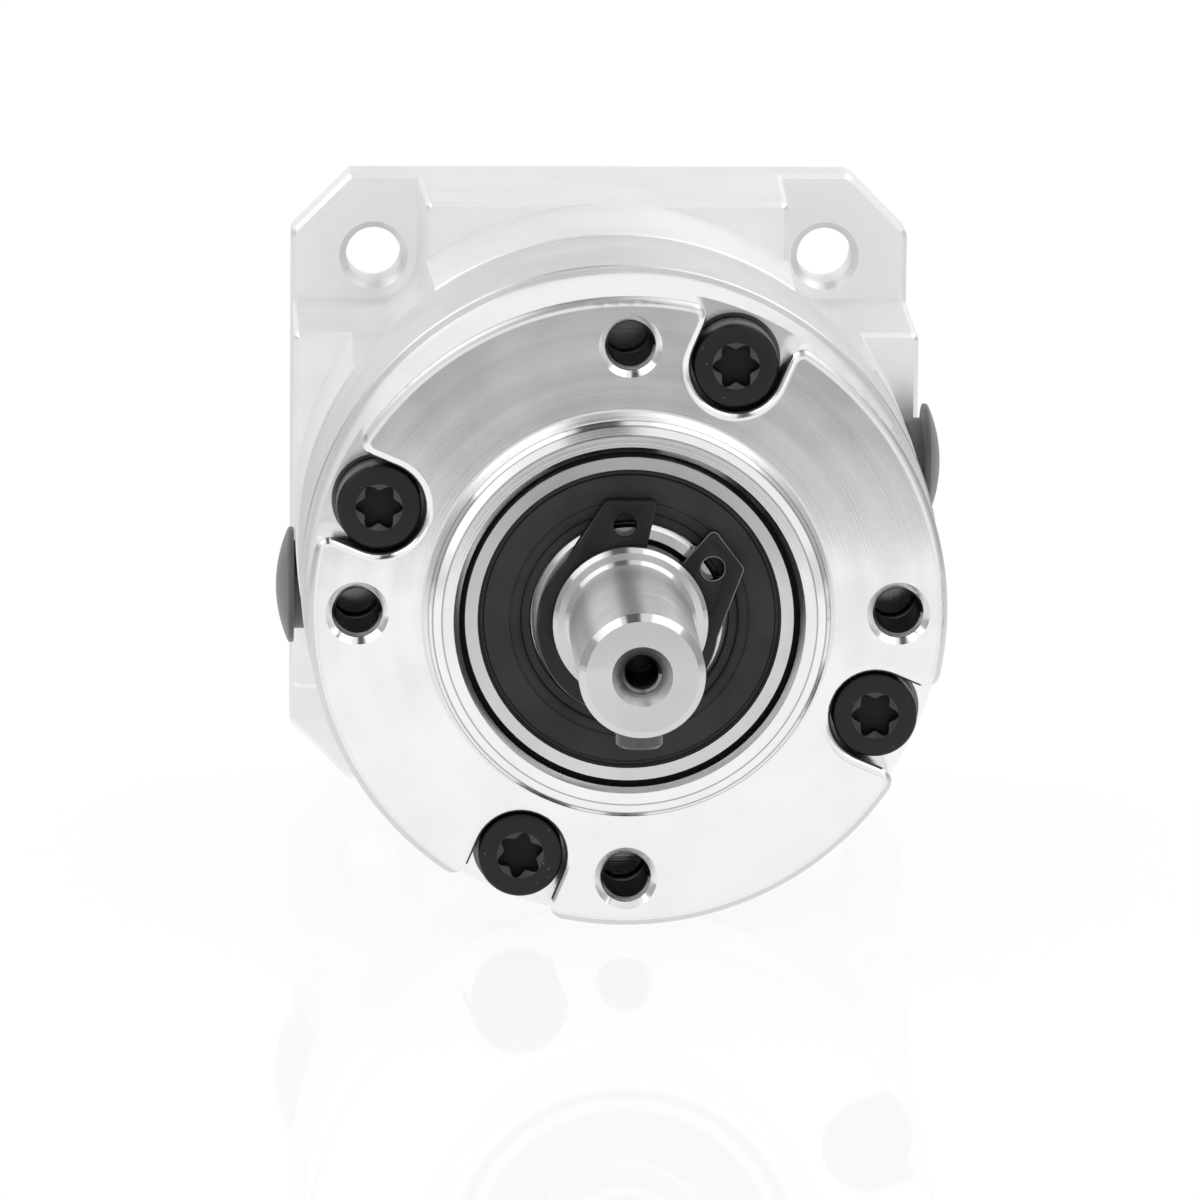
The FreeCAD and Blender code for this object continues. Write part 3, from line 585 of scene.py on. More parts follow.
def turning_marks() -> bpy.types.NodeTree:
    """Builds the group of fine rings that a lathe tool leaves about the shaft axis.

    Returns:
        A group with a height and a slow tone.
    """
    usual = {"Marks per mm": 6.0, "Radius share": 1.0}
    sheet, given, result = new_group("turning_marks", usual, ["Height", "Tone"])
    radius, depth = sheet.radius_and_depth()
    along = sheet.math("MULTIPLY_ADD", radius, given.outputs["Radius share"], depth)
    fine = sheet.noise("1D", along, given.outputs["Marks per mm"], detail=2.0)
    slow = sheet.noise("1D", along, SLOW_TONES, detail=3.0)
    sheet.put(result.inputs["Height"], fine)
    sheet.put(result.inputs["Tone"], slow)
    return sheet.tree


def surface_grain() -> bpy.types.NodeTree:
    """Builds the group of fine pits and slow smudges that every handled surface has.

    Returns:
        A group with a grain, smudges and rare specks.
    """
    usual = {"Grains per mm": 8.0, "Smudges per mm": 0.16}
    sheet, given, result = new_group("surface_grain", usual, ["Grain", "Smudge", "Specks"])
    place = sheet.place()
    grain = sheet.noise("3D", place, given.outputs["Grains per mm"], detail=2.0)
    smudge = sheet.noise("3D", place, given.outputs["Smudges per mm"], detail=4.0)
    dust = sheet.noise("3D", place, SPECKS, detail=1.0)
    sheet.put(result.inputs["Grain"], grain)
    sheet.put(result.inputs["Smudge"], sheet.ramp(smudge, *SMUDGE_RISE))
    sheet.put(result.inputs["Specks"], sheet.ramp(dust, *SPECK_RISE))
    return sheet.tree


def ring_mask() -> bpy.types.NodeTree:
    """Builds the group that marks a ring round the shaft axis.

    Returns:
        A group with a mask that is 1 between two radii and two depths.
    """
    usual = {"Inner radius": 0.0, "Outer radius": 1.0, "Front depth": -100.0, "Rear depth": 100.0}
    sheet, given, result = new_group("ring_mask", usual, ["Mask"])
    radius, depth = sheet.radius_and_depth()
    inside = sheet.math("GREATER_THAN", radius, given.outputs["Inner radius"])
    outside = sheet.math("LESS_THAN", radius, given.outputs["Outer radius"])
    behind = sheet.math("GREATER_THAN", depth, given.outputs["Front depth"])
    before = sheet.math("LESS_THAN", depth, given.outputs["Rear depth"])
    ring = sheet.math("MULTIPLY", inside, outside)
    slice_mask = sheet.math("MULTIPLY", behind, before)
    sheet.put(result.inputs["Mask"], sheet.math("MULTIPLY", ring, slice_mask))
    return sheet.tree


def bore_shadow() -> bpy.types.NodeTree:
    """Builds the group that marks the shaded inside of a bore along Y.

    Returns:
        A group with a mask that rises with depth within a radius of the bore's centre.
    """
    usual = {"Across": 0.0, "Up": 0.0, "Radius": 1.0, "Mouth depth": 0.0, "Full depth": 1.0}
    sheet, given, result = new_group("bore_shadow", usual, ["Mask"])
    parts = sheet.add("ShaderNodeSeparateXYZ")
    sheet.put(parts.inputs[0], sheet.place())
    aside = sheet.math("SUBTRACT", parts.outputs["X"], given.outputs["Across"])
    above = sheet.math("SUBTRACT", parts.outputs["Z"], given.outputs["Up"])
    square = sheet.math("MULTIPLY_ADD", aside, aside, sheet.math("MULTIPLY", above, above))
    reach = sheet.math("SQRT", square)
    inside = sheet.math("LESS_THAN", reach, given.outputs["Radius"])
    depth = sheet.add("ShaderNodeMapRange", interpolation_type="SMOOTHSTEP")
    sheet.put(depth.inputs["Value"], parts.outputs["Y"])
    sheet.put(depth.inputs["From Min"], given.outputs["Mouth depth"])
    sheet.put(depth.inputs["From Max"], given.outputs["Full depth"])
    sheet.put(result.inputs["Mask"], sheet.math("MULTIPLY", inside, depth.outputs["Result"]))
    return sheet.tree


@dataclass(frozen=True)
class GroupSet:
    """The node groups that the finishes share."""

    marks: bpy.types.NodeTree
    grain: bpy.types.NodeTree
    ring: bpy.types.NodeTree
    bore: bpy.types.NodeTree


def new_material(name: str) -> tuple[bpy.types.Material, Sheet, bpy.types.Node]:
    """Starts a material with a Principled shader.

    Args:
        name: Name of the material.

    Returns:
        The material, its sheet and its shader node.
    """
    material = bpy.data.materials.new(name)
    material.use_nodes = True
    sheet = Sheet(material.node_tree)
    return material, sheet, material.node_tree.nodes["Principled BSDF"]


def placed(sheet: Sheet, group: bpy.types.NodeTree, **values: float) -> bpy.types.Node:
    """Places a node group in a material.

    Args:
        sheet: The material's sheet.
        group: The group to place.
        values: Input numbers, with underscores for spaces.

    Returns:
        The group node.
    """
    node = sheet.add("ShaderNodeGroup", node_tree=group)
    for label, value in values.items():
        node.inputs[label.replace("_", " ")].default_value = value
    return node


@dataclass(frozen=True)
class Zone:
    """A ring about the shaft axis between two radii and two depths.

    As a ring of painted shade, it keeps a share of its colour.
    """

    inner: float
    outer: float
    front: float
    rear: float
    share: float = 0.12

    def mask(self, sheet: Sheet, groups: GroupSet) -> bpy.types.NodeSocket:
        """Places the ring mask in a material.

        Args:
            sheet: The material's sheet.
            groups: The shared node groups.

        Returns:
            The mask.
        """
        node = placed(
            sheet, groups.ring, Inner_radius=self.inner, Outer_radius=self.outer,
            Front_depth=self.front, Rear_depth=self.rear,
        )
        return node.outputs["Mask"]


@dataclass(frozen=True)
class Bore:
    """A bore along Y whose painted shade darkens with depth."""

    across: float
    up: float
    radius: float
    mouth: float
    full: float

    def mask(self, sheet: Sheet, groups: GroupSet) -> bpy.types.NodeSocket:
        """Places the bore mask in a material.

        Args:
            sheet: The material's sheet.
            groups: The shared node groups.

        Returns:
            The mask.
        """
        node = placed(
            sheet, groups.bore, Across=self.across, Up=self.up, Radius=self.radius,
            Mouth_depth=self.mouth, Full_depth=self.full,
        )
        return node.outputs["Mask"]


def bores_at(
    angles: list[float], circle: float, radius: float, mouth: float, full: float
) -> tuple[Bore, ...]:
    """Sets equal bores on a circle about the shaft axis.

    Args:
        angles: Their angles in degrees.
        circle: Radius of the circle.
        radius: Radius of each bore.
        mouth: Depth where each starts to darken.
        full: Depth where each is darkest.

    Returns:
        The bores.
    """
    places = [polar(circle, angle) for angle in angles]
    return tuple(Bore(place.x, place.z, radius, mouth, full) for place in places)


def dimmed(colour: Colour, share: float) -> tuple[float, float, float, float]:
    """Gives a colour times a share, with full alpha."""
    return (colour[0] * share, colour[1] * share, colour[2] * share, 1.0)


@dataclass(frozen=True)
class MetalFinish:
    """A bare or blackened metal surface."""

    name: str
    colour: Colour
    roughness: float
    lay: Lay = Lay.TURNED
    metallic: float = 1.0
    marks: float = 6.0
    mark_height: float = 0.0006
    faced: float = 1.0
    grain: float = 9.0
    grain_height: float = 0.0005
    stain: float = 0.94
    roughness_swing: float = 0.08
    speck_share: float = 0.0
    coat: float = 0.0
    specular: float = 0.5
    # Rings and bores with painted shade, and the share of colour that the painted bores keep.
    painted_shade_rings: tuple[Zone, ...] = ()
    painted_shade_bores: tuple[Bore, ...] = ()
    bore_shade_share: float = 0.1
    ground: tuple[Zone, ...] = ()
    ground_roughness: float = 0.4
    anisotropy: float = 0.0

    def material(self, groups: GroupSet) -> bpy.types.Material:
        """Builds the material.

        Args:
            groups: The shared node groups.

        Returns:
            The finished material.
        """
        material, sheet, shader = new_material(self.name)
        marks = placed(sheet, groups.marks, Marks_per_mm=self.marks, Radius_share=self.faced)
        grain = placed(sheet, groups.grain, Grains_per_mm=self.grain)
        shader.inputs["Metallic"].default_value = self.metallic
        shader.inputs["Coat Weight"].default_value = self.coat
        shader.inputs["Specular IOR Level"].default_value = self.specular
        smudge = grain.outputs["Smudge"]
        colour = sheet.blend(smudge, dimmed(self.colour, self.stain), dimmed(self.colour, 1.0))
        if self.speck_share > 0.0:
            specks = sheet.math("MULTIPLY", grain.outputs["Specks"], self.speck_share)
            colour = sheet.blend(specks, colour, dimmed(WHITE, SPECK_TONE))
        # Painted shade: the rings and bores darken the base colour.
        for zone in self.painted_shade_rings:
            colour = sheet.blend(zone.mask(sheet, groups), colour, dimmed(self.colour, zone.share))
        for bore in self.painted_shade_bores:
            colour = sheet.blend(bore.mask(sheet, groups), colour, dimmed(self.colour, self.bore_shade_share))
        sheet.put(shader.inputs["Base Color"], colour)
        half_swing = self.roughness_swing / 2
        swing = sheet.math("MULTIPLY_ADD", smudge, -self.roughness_swing, self.roughness + half_swing)
        pattern = marks.outputs["Tone"] if self.lay is Lay.TURNED else grain.outputs["Grain"]
        spread = sheet.math("MULTIPLY_ADD", pattern, self.roughness_swing, swing)
        rough = sheet.math("SUBTRACT", spread, half_swing)
        for zone in self.ground:
            more = self.ground_roughness - self.roughness
            rough = sheet.math("MULTIPLY_ADD", zone.mask(sheet, groups), more, rough)
        sheet.put(shader.inputs["Roughness"], rough)
        if self.anisotropy > 0.0:
            shader.inputs["Anisotropic"].default_value = self.anisotropy
            shader.inputs["Anisotropic Rotation"].default_value = QUARTER_TURN
            round_axis = sheet.add("ShaderNodeTangent", direction_type="RADIAL", axis="Y")
            sheet.put(shader.inputs["Tangent"], round_axis.outputs["Tangent"])
        fine = sheet.add("ShaderNodeBump")
        fine.inputs["Distance"].default_value = self.grain_height * MM
        sheet.put(fine.inputs["Height"], grain.outputs["Grain"])
        normal = fine.outputs["Normal"]
        if self.lay is Lay.TURNED:
            rings = sheet.add("ShaderNodeBump")
            rings.inputs["Distance"].default_value = self.mark_height * MM
            sheet.put(rings.inputs["Height"], marks.outputs["Height"])
            sheet.put(rings.inputs["Normal"], normal)
            normal = rings.outputs["Normal"]
        sheet.put(shader.inputs["Normal"], normal)
        return material


@dataclass(frozen=True)
class MouldedFinish:
    """A moulded rubber or plastic surface."""

    name: str
    colour: Colour
    roughness: float
    roughness_swing: float = 0.16
    grain: float = 7.0
    grain_height: float = 0.004
    smudges: float = 0.3
    dust: float = 0.1
    dust_colour: Colour = (0.3, 0.3, 0.3)
    specular: float = 0.5
    sheen: float = 0.0

    def material(self, groups: GroupSet) -> bpy.types.Material:
        """Builds the material.

        Args:
            groups: The shared node groups.

        Returns:
            The finished material.
        """
        material, sheet, shader = new_material(self.name)
        grain = placed(sheet, groups.grain, Grains_per_mm=self.grain, Smudges_per_mm=self.smudges)
        shader.inputs["Specular IOR Level"].default_value = self.specular
        shader.inputs["Sheen Weight"].default_value = self.sheen
        cloud = sheet.math("MULTIPLY", grain.outputs["Smudge"], self.dust)
        specks = sheet.math("MULTIPLY", grain.outputs["Specks"], self.dust)
        dust = sheet.math("MAXIMUM", cloud, specks)
        colour = sheet.blend(dust, dimmed(self.colour, 1.0), dimmed(self.dust_colour, 1.0))
        sheet.put(shader.inputs["Base Color"], colour)
        least = self.roughness - self.roughness_swing / 2
        rough = sheet.math("MULTIPLY_ADD", grain.outputs["Grain"], self.roughness_swing, least)
        sheet.put(shader.inputs["Roughness"], rough)
        bump = sheet.add("ShaderNodeBump")
        bump.inputs["Distance"].default_value = self.grain_height * MM
        sheet.put(bump.inputs["Height"], grain.outputs["Grain"])
        sheet.put(shader.inputs["Normal"], bump.outputs["Normal"])
        return material


# Marks on the solids, in millimetres from the shaft axis and along it: painted shade in rings and bores,
# and rougher zones
# Painted shade: the flange's rim and its rounded front edge are painted darker.
FLANGE_RIM_SHADE = Zone(inner=20.3, outer=21.5, front=-1.0, rear=0.58, share=0.78)
# Painted shade: thin dark lines are painted at the edges of the collar's chamfers.
COLLAR_EDGE_SHADE = (
    Zone(inner=12.94, outer=13.05, front=-1.96, rear=-1.75, share=0.5),
    Zone(inner=12.64, outer=12.75, front=-2.4, rear=-2.1, share=0.5),
    Zone(inner=12.05, outer=12.16, front=-2.6, rear=-2.4, share=0.5),
)
RIM_AND_COLLAR_FOOT = (
    Zone(inner=20.1, outer=21.5, front=-1.0, rear=0.6),
    Zone(inner=12.7, outer=13.4, front=-0.6, rear=0.1),
)
# Painted shade: the tapped holes and the screw pockets are painted darker with depth.
TAPPED_HOLE_SHADE = bores_at(ring_of(HOLE_COUNT, 0.0), HOLE_CIRCLE, radius=1.8, mouth=0.3, full=1.6)
SCREW_POCKET_SHADE = bores_at(
    ring_of(HOLE_COUNT, FIRST_SCREW_ANGLE), HOLE_CIRCLE, radius=3.02, mouth=0.5, full=1.0
)
# Painted shade: the circlip groove on the shaft is painted almost black.
CIRCLIP_GROOVE_SHADE = Zone(inner=3.0, outer=4.99, front=-2.95, rear=-1.9, share=0.06)
JOURNAL = Zone(inner=3.98, outer=4.02, front=-20.4, rear=-4.1)
# Painted shade: the shaft's centre hole is painted darker with depth.
CENTRE_HOLE_SHADE = Bore(across=0.0, up=0.0, radius=1.3, mouth=-20.4, full=-19.2)
# Painted shade: dark rings are painted at the front edges of the bearing rings.
RING_EDGE_SHADE = (
    Zone(inner=10.62, outer=11.2, front=-3.0, rear=0.0),
    Zone(inner=4.9, outer=5.38, front=-2.5, rear=-1.4),
)
# Painted shade: the bearing face behind the circlip's ear holes is painted dark.
SHADE_BEHIND_THE_EARS = bores_at([33.5, 93.5], circle=6.35, radius=0.85, mouth=-1.95, full=-1.85)

# The flange carries painted shade on its rim, collar edges, tapped holes and screw pockets.
FLANGE_ALUMINIUM = MetalFinish(
    "flange_aluminium", (0.91, 0.912, 0.914), roughness=0.14, marks=10.0, mark_height=0.0025, stain=0.97,
    painted_shade_rings=(FLANGE_RIM_SHADE, *COLLAR_EDGE_SHADE), painted_shade_bores=TAPPED_HOLE_SHADE + SCREW_POCKET_SHADE, bore_shade_share=0.16,
    ground=RIM_AND_COLLAR_FOOT, ground_roughness=0.34,
)
ADAPTER_ALUMINIUM = MetalFinish(
    "adapter_aluminium", (0.955, 0.957, 0.959), roughness=0.46, lay=Lay.BLASTED, grain=6.0,
    grain_height=0.002, stain=0.96,
)
RING_STEEL = MetalFinish("ring_steel", (0.75, 0.753, 0.756), roughness=0.36, mark_height=0.002)
# The shaft carries painted shade in its circlip groove and centre hole.
SHAFT_STEEL = MetalFinish(
    "shaft_steel", (0.69, 0.69, 0.69), roughness=0.17, metallic=0.95, marks=8.0, mark_height=0.003,
    faced=0.0, painted_shade_rings=(CIRCLIP_GROOVE_SHADE,), painted_shade_bores=(CENTRE_HOLE_SHADE,), bore_shade_share=0.08,
    ground=(JOURNAL,), ground_roughness=0.36, anisotropy=0.86,
)
GEAR_STEEL = MetalFinish(
    "gear_steel", (0.5, 0.5, 0.51), roughness=0.3, lay=Lay.BLASTED, grain=5.0, coat=0.3
)
# The bearing steel carries painted shade at its ring edges and behind the circlip's ears.
BEARING_STEEL = MetalFinish(
    "bearing_steel", (0.65, 0.65, 0.66), roughness=0.16, marks=8.0, mark_height=0.0003,
    painted_shade_rings=RING_EDGE_SHADE, painted_shade_bores=SHADE_BEHIND_THE_EARS, bore_shade_share=0.2,
)
BALL_STEEL = MetalFinish(
    "ball_steel", (0.75, 0.75, 0.76), roughness=0.06, lay=Lay.BLASTED, grain=3.0, grain_height=0.0001
)
BLACK_OXIDE = MetalFinish(
    "black_oxide", (0.009, 0.009, 0.0095), roughness=0.36, lay=Lay.BLASTED, metallic=0.0, grain=7.0,
    grain_height=0.003, stain=0.7, speck_share=0.25, coat=0.05, specular=0.3,
)
SPRING_BLACK = MetalFinish(
    "spring_black", (0.008, 0.008, 0.0085), roughness=0.3, lay=Lay.BLASTED, metallic=0.0, grain=5.0,
    grain_height=0.001, stain=0.7, speck_share=0.1, coat=0.05, specular=0.3,
)
# Bare worn metal on the circlip's rounded edges, painted lighter in patches that also stand in for edge
# highlights.
WORN_EDGE_AND_HIGHLIGHT = MetalFinish(
    "worn_edge_and_highlight", (0.26, 0.26, 0.26), roughness=0.32, lay=Lay.BLASTED, grain=6.0, stain=0.08
)
SOCKET_BLACK = MetalFinish(
    "socket_black", (0.012, 0.012, 0.012), roughness=0.5, lay=Lay.BLASTED, metallic=0.0, specular=0.2
)
# Painted highlight: the socket's mouth cone is painted lighter than the black head.
SOCKET_LIP_HIGHLIGHT = MetalFinish(
    "socket_lip_highlight", (0.045, 0.045, 0.046), roughness=0.38, lay=Lay.BLASTED, metallic=0.0,
    grain_height=0.003, stain=0.6,
)
KEY_STEEL = MetalFinish("key_steel", (0.11, 0.11, 0.112), roughness=0.28, lay=Lay.BLASTED, grain=4.0)
BUSH_BRONZE = MetalFinish(
    "bush_bronze", (0.62, 0.42, 0.2), roughness=0.35, lay=Lay.BLASTED, grain=5.0, grain_height=0.002
)
SEAL_RUBBER = MouldedFinish(
    "seal_rubber", (0.015, 0.015, 0.0155), roughness=0.5, dust=0.04, specular=0.36
)
PLUG_RUBBER = MouldedFinish("plug_rubber", (0.06, 0.06, 0.061), roughness=0.48, dust=0.14, sheen=0.25)
CAGE_NYLON = MouldedFinish("cage_nylon", (0.2, 0.13, 0.07), roughness=0.45, dust=0.02)

FINISHES: tuple[MetalFinish | MouldedFinish, ...] = (
    FLANGE_ALUMINIUM, ADAPTER_ALUMINIUM, RING_STEEL, SHAFT_STEEL, GEAR_STEEL, BEARING_STEEL, BALL_STEEL,
    BLACK_OXIDE, SPRING_BLACK, WORN_EDGE_AND_HIGHLIGHT, SOCKET_BLACK, SOCKET_LIP_HIGHLIGHT, KEY_STEEL, BUSH_BRONZE, SEAL_RUBBER,
    PLUG_RUBBER, CAGE_NYLON,
)


class Wardrobe:
    """Dresses pieces and carried-over nodes in finishes."""

    def __init__(self) -> None:
        """Builds the shared groups and one material for each finish."""
        groups = GroupSet(turning_marks(), surface_grain(), ring_mask(), bore_shadow())
        self.materials = {finish.name: finish.material(groups) for finish in FINISHES}
        self.count = 0

    def paint(self, target: bpy.types.Object, *slots: str) -> None:
        """Gives an object these materials and no other.

        Args:
            target: The object.
            slots: Names of the finishes.
        """
        target.data.materials.clear()
        for slot in slots:
            target.data.materials.append(self.materials[slot])

    def hang(self, piece: bpy.types.Object, body: str, slot: str, *nodes: str) -> None:
        """Hangs a painted piece on its body and lets it stand for nodes.

        Args:
            piece: The finished piece.
            body: The body it rides on.
            slot: Name of its main finish.
            nodes: Nodes that it stands for.
        """
        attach(piece, body)
        if nodes:
            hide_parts(*nodes)
        self.count += 1
        log.info("piece %s on %s in %s", piece.name, body, slot)

    def piece(self, piece: bpy.types.Object, body: str, slot: str, *nodes: str) -> None:
        """Paints a new piece in one finish and hangs it on its body.

        Args:
            piece: The finished piece.
            body: The body it rides on.
            slot: Name of its finish.
            nodes: Nodes that it stands for.
        """
        self.paint(piece, slot)
        self.hang(piece, body, slot, *nodes)

    def node(self, name: str, slot: str) -> None:
        """Paints a carried-over node.

        Args:
            name: Name of the node.
            slot: Name of its finish.
        """
        self.paint(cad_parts[name], slot)
        log.info("node %s in %s", name, slot)


# Sub-assemblies

@dataclass
class OutputFlange:
    """The front cover with its tapped mounting holes."""

    hole_circle: float = HOLE_CIRCLE
    hole_count: int = HOLE_COUNT
    thread: Thread = Thread(root=1.66, crest=1.46, pitch=0.7, start=0.75, length=5.6)

    def build(self, wardrobe: Wardrobe) -> None:
        """Dresses the flange and winds the threads of its holes.

        Args:
            wardrobe: The finishes.
        """
        wardrobe.node("output_flange", FLANGE_ALUMINIUM.name)
        pattern = self.thread.ridge("flange_thread_pattern")
        shade(pattern)
        for number, angle in enumerate(ring_of(self.hole_count, 0.0), start=1):
            place = Matrix.Translation(polar(self.hole_circle, angle) * MM)
            thread = copied(pattern, f"flange_hole_thread_{number}", place)
            wardrobe.piece(thread, "housing", FLANGE_ALUMINIUM.name)
        bpy.data.objects.remove(pattern)


@dataclass
class FlangeScrews:
    """Four cap screws with six-lobe sockets that hold flange, ring gear and adapter together."""

    circle: float = HOLE_CIRCLE
    count: int = HOLE_COUNT
    first_angle: float = FIRST_SCREW_ANGLE
    head_front: float = 0.6
    blank: ScrewBlank = ScrewBlank(
        head_radius=2.75, head_height=3.0, head_edge=0.3, edge_faces=4,
        shank_radius=1.5, core_radius=1.23, thread_start=13.4, end=28.3,
        neck=0.4, point=0.5, point_drop=0.4, pitch=0.5, run_out=1.1,
    )
    socket_mean: float = 1.31
    socket_swing: float = 0.22
    socket_depth: float = 1.4
    socket_points: int = 72
    lobes: int = 6
    mouth_radius: float = 1.52
    mouth_depth: float = 0.25
    mouth_faces: int = 48
    socket_turns: tuple[float, ...] = (1.0, -1.0, 18.0, 0.0)

    def lobe_step(self, place: Vector) -> int:
        """Counts the steps from the middle of the nearest lobe to a point of the socket.

        Args:
            place: The point.

        Returns:
            The number of steps.
        """
        per_lobe = self.socket_points // self.lobes
        part = round(math.atan2(place.z, place.x) / FULL_TURN * self.socket_points) % per_lobe
        return min(part, per_lobe - part)

    def socket(self) -> bpy.types.Object:
        """Makes the six-lobe shape that is cut from the head.

        Returns:
            The cutter, which starts in front of the origin plane.
        """
        cutter = prism("six_lobe_cutter", self.socket_points, self.socket_mean, self.socket_depth)
        per_lobe = self.socket_points // self.lobes
        with editing(cutter):
            for step in range(per_lobe // 2 + 1):
                wave = math.cos(FULL_TURN * step / per_lobe)
                size = 1.0 + self.socket_swing / self.socket_mean * wave
                select_points(cutter, lambda place, wanted=step: self.lobe_step(place) == wanted)
                bpy.ops.transform.resize(value=(size, 1.0, size), center_override=(0.0, 0.0, 0.0))
        return cutter

    def mouth(self) -> bpy.types.Object:
        """Makes the shallow cone that leads into the socket.

        Returns:
            The cutter, which starts in front of the origin plane.
        """
        inner = self.socket_mean - self.socket_swing
        return turned("mouth_cutter", [
            (0.0, -CUTTER_REACH), (self.mouth_radius, -CUTTER_REACH), (self.mouth_radius, 0.0),
            (inner, self.mouth_depth), (0.0, self.mouth_depth),
        ], steps=self.mouth_faces)

    def one(self, wardrobe: Wardrobe) -> bpy.types.Object:
        """Models one screw with its head face at the origin plane.

        Args:
            wardrobe: The finishes.

        Returns:
            The screw.
        """
        screw = self.blank.body("screw_pattern")
        wardrobe.paint(screw, BLACK_OXIDE.name)
        # The mouth cone takes the socket lip finish, painted lighter as a highlight, and the socket stays
        # black.
        for cutter, slot in ((self.mouth(), SOCKET_LIP_HIGHLIGHT.name), (self.socket(), SOCKET_BLACK.name)):
            wardrobe.paint(cutter, slot)
            cut_out(screw, cutter)
        self.blank.add_thread(screw)
        return screw

    def build(self, wardrobe: Wardrobe) -> None:
        """Sets the four screws into their pockets.

        Args:
            wardrobe: The finishes.
        """
        pattern = self.one(wardrobe)
        places = zip(ring_of(self.count, self.first_angle), self.socket_turns)
        for number, (angle, turn) in enumerate(places, start=1):
            spin = Matrix.Rotation(-math.radians(turn), 4, "Y")
            place = polar(self.circle, angle) + Vector((0.0, self.head_front, 0.0))
            screw = copied(pattern, f"flange_screw_{number}", Matrix.Translation(place * MM) @ spin)
            wardrobe.hang(screw, "housing", BLACK_OXIDE.name, "flange_screws")
        bpy.data.objects.remove(pattern)


@dataclass
class BearingSeals:
    """The pair of moulded seals of one ball bearing."""

    name: str
    front: float
    width: float
    inner: float
    outer: float
    lip: float
    recess: float = 0.25
    thickness: float = 0.65
    edge: float = 0.1
    lip_drop: float = 0.2
    lip_slope: float = 0.12
    shoulder: float = 0.04
    groove_marks: tuple[float, ...] = (0.5, 0.56, 0.64, 0.7)
    groove_depth: float = 0.05
    channel_marks: tuple[float, ...] = (0.55, 0.42, 0.34, 0.16)
    channel_depth: float = 0.22
    rim_drop: float = 0.06
    faces: int = 96
    smooth_angle: float = 35.0

    def section(self) -> Profile:
        """Gives the half section of the front seal, measured from the bearing face.

        Returns:
            Radius and depth of each corner.
        """
        face = self.recess
        back = face + self.thickness
        sunk = face + self.lip_drop
        shoulder = face + self.shoulder
        groove = face + self.groove_depth
        channel = face + self.channel_depth
        rim = face + self.rim_drop
        start, down, up, stop = (self.lip + mark for mark in self.groove_marks)
        flat, slope, wall, foot = (self.outer - mark for mark in self.channel_marks)
        return [
            (self.inner, back), (self.inner, sunk + self.lip_slope), (self.inner + self.edge, sunk),
            (self.lip - self.edge, sunk), (self.lip, shoulder), (self.lip + self.edge, face),
            (start, face), (down, groove), (up, groove), (stop, face),
            (flat, face), (slope, shoulder), (wall, channel), (foot, channel),
            (self.outer - self.edge, rim), (self.outer, rim), (self.outer, back), (self.inner, back),
        ]

    def build(self, wardrobe: Wardrobe) -> None:
        """Spins the front seal and mirrors its section for the rear seal.

        Args:
            wardrobe: The finishes.
        """
        node = f"{self.name}_bearing_seals"
        front = [(radius, self.front + depth) for radius, depth in self.section()]
        rear = [(radius, self.front + self.width - depth) for radius, depth in self.section()]
        for side, profile in (("front", front), ("rear", rear)):
            seal = turned(f"{self.name}_bearing_{side}_seal", profile, steps=self.faces)
            shade(seal, self.smooth_angle)
            wardrobe.piece(seal, "housing", SEAL_RUBBER.name, node)


@dataclass
class RetainingRing:
    """A stamped circlip, softened at its edges."""

    node: str
    body: str
    edge: float = 0.07
    edge_angle: float = 40.0
    smooth_angle: float = 30.0

    def build(self, wardrobe: Wardrobe) -> None:
        """Copies the solid's mesh, merges it and rounds its edges.

        Args:
            wardrobe: The finishes.
        """
        name = f"{self.node}_stamping"
        piece = bpy.data.objects.new(name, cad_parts[self.node].data.copy())
        bpy.context.scene.collection.objects.link(piece)
        with editing(piece):
            tidy_shell()
            bpy.ops.mesh.dissolve_limited(angle_limit=math.radians(FLAT_ANGLE))
        # The rounded edges take the second finish: lighter bare metal that is partly wear and partly a
        # painted highlight.
        wardrobe.paint(piece, SPRING_BLACK.name, WORN_EDGE_AND_HIGHLIGHT.name)
        round_edges(piece, self.edge, segments=2, angle=self.edge_angle, material=1)
        shade(piece, self.smooth_angle)
        wardrobe.hang(piece, self.body, SPRING_BLACK.name, self.node)


@dataclass
class OutputShaft:
    """The keyed output shaft with its carrier."""

    thread: Thread = Thread(root=1.26, crest=1.06, pitch=0.5, start=-19.7, length=6.2)

    def build(self, wardrobe: Wardrobe) -> None:
        """Dresses shaft and key and winds the thread of the centre hole.

        Args:
            wardrobe: The finishes.
        """
        wardrobe.node("output_shaft", SHAFT_STEEL.name)
        wardrobe.node("shaft_key", KEY_STEEL.name)
        wardrobe.node("bearing_spacer", BEARING_STEEL.name)
        thread = self.thread.ridge("shaft_centre_thread")
        shade(thread)
        wardrobe.piece(thread, "output", SHAFT_STEEL.name)


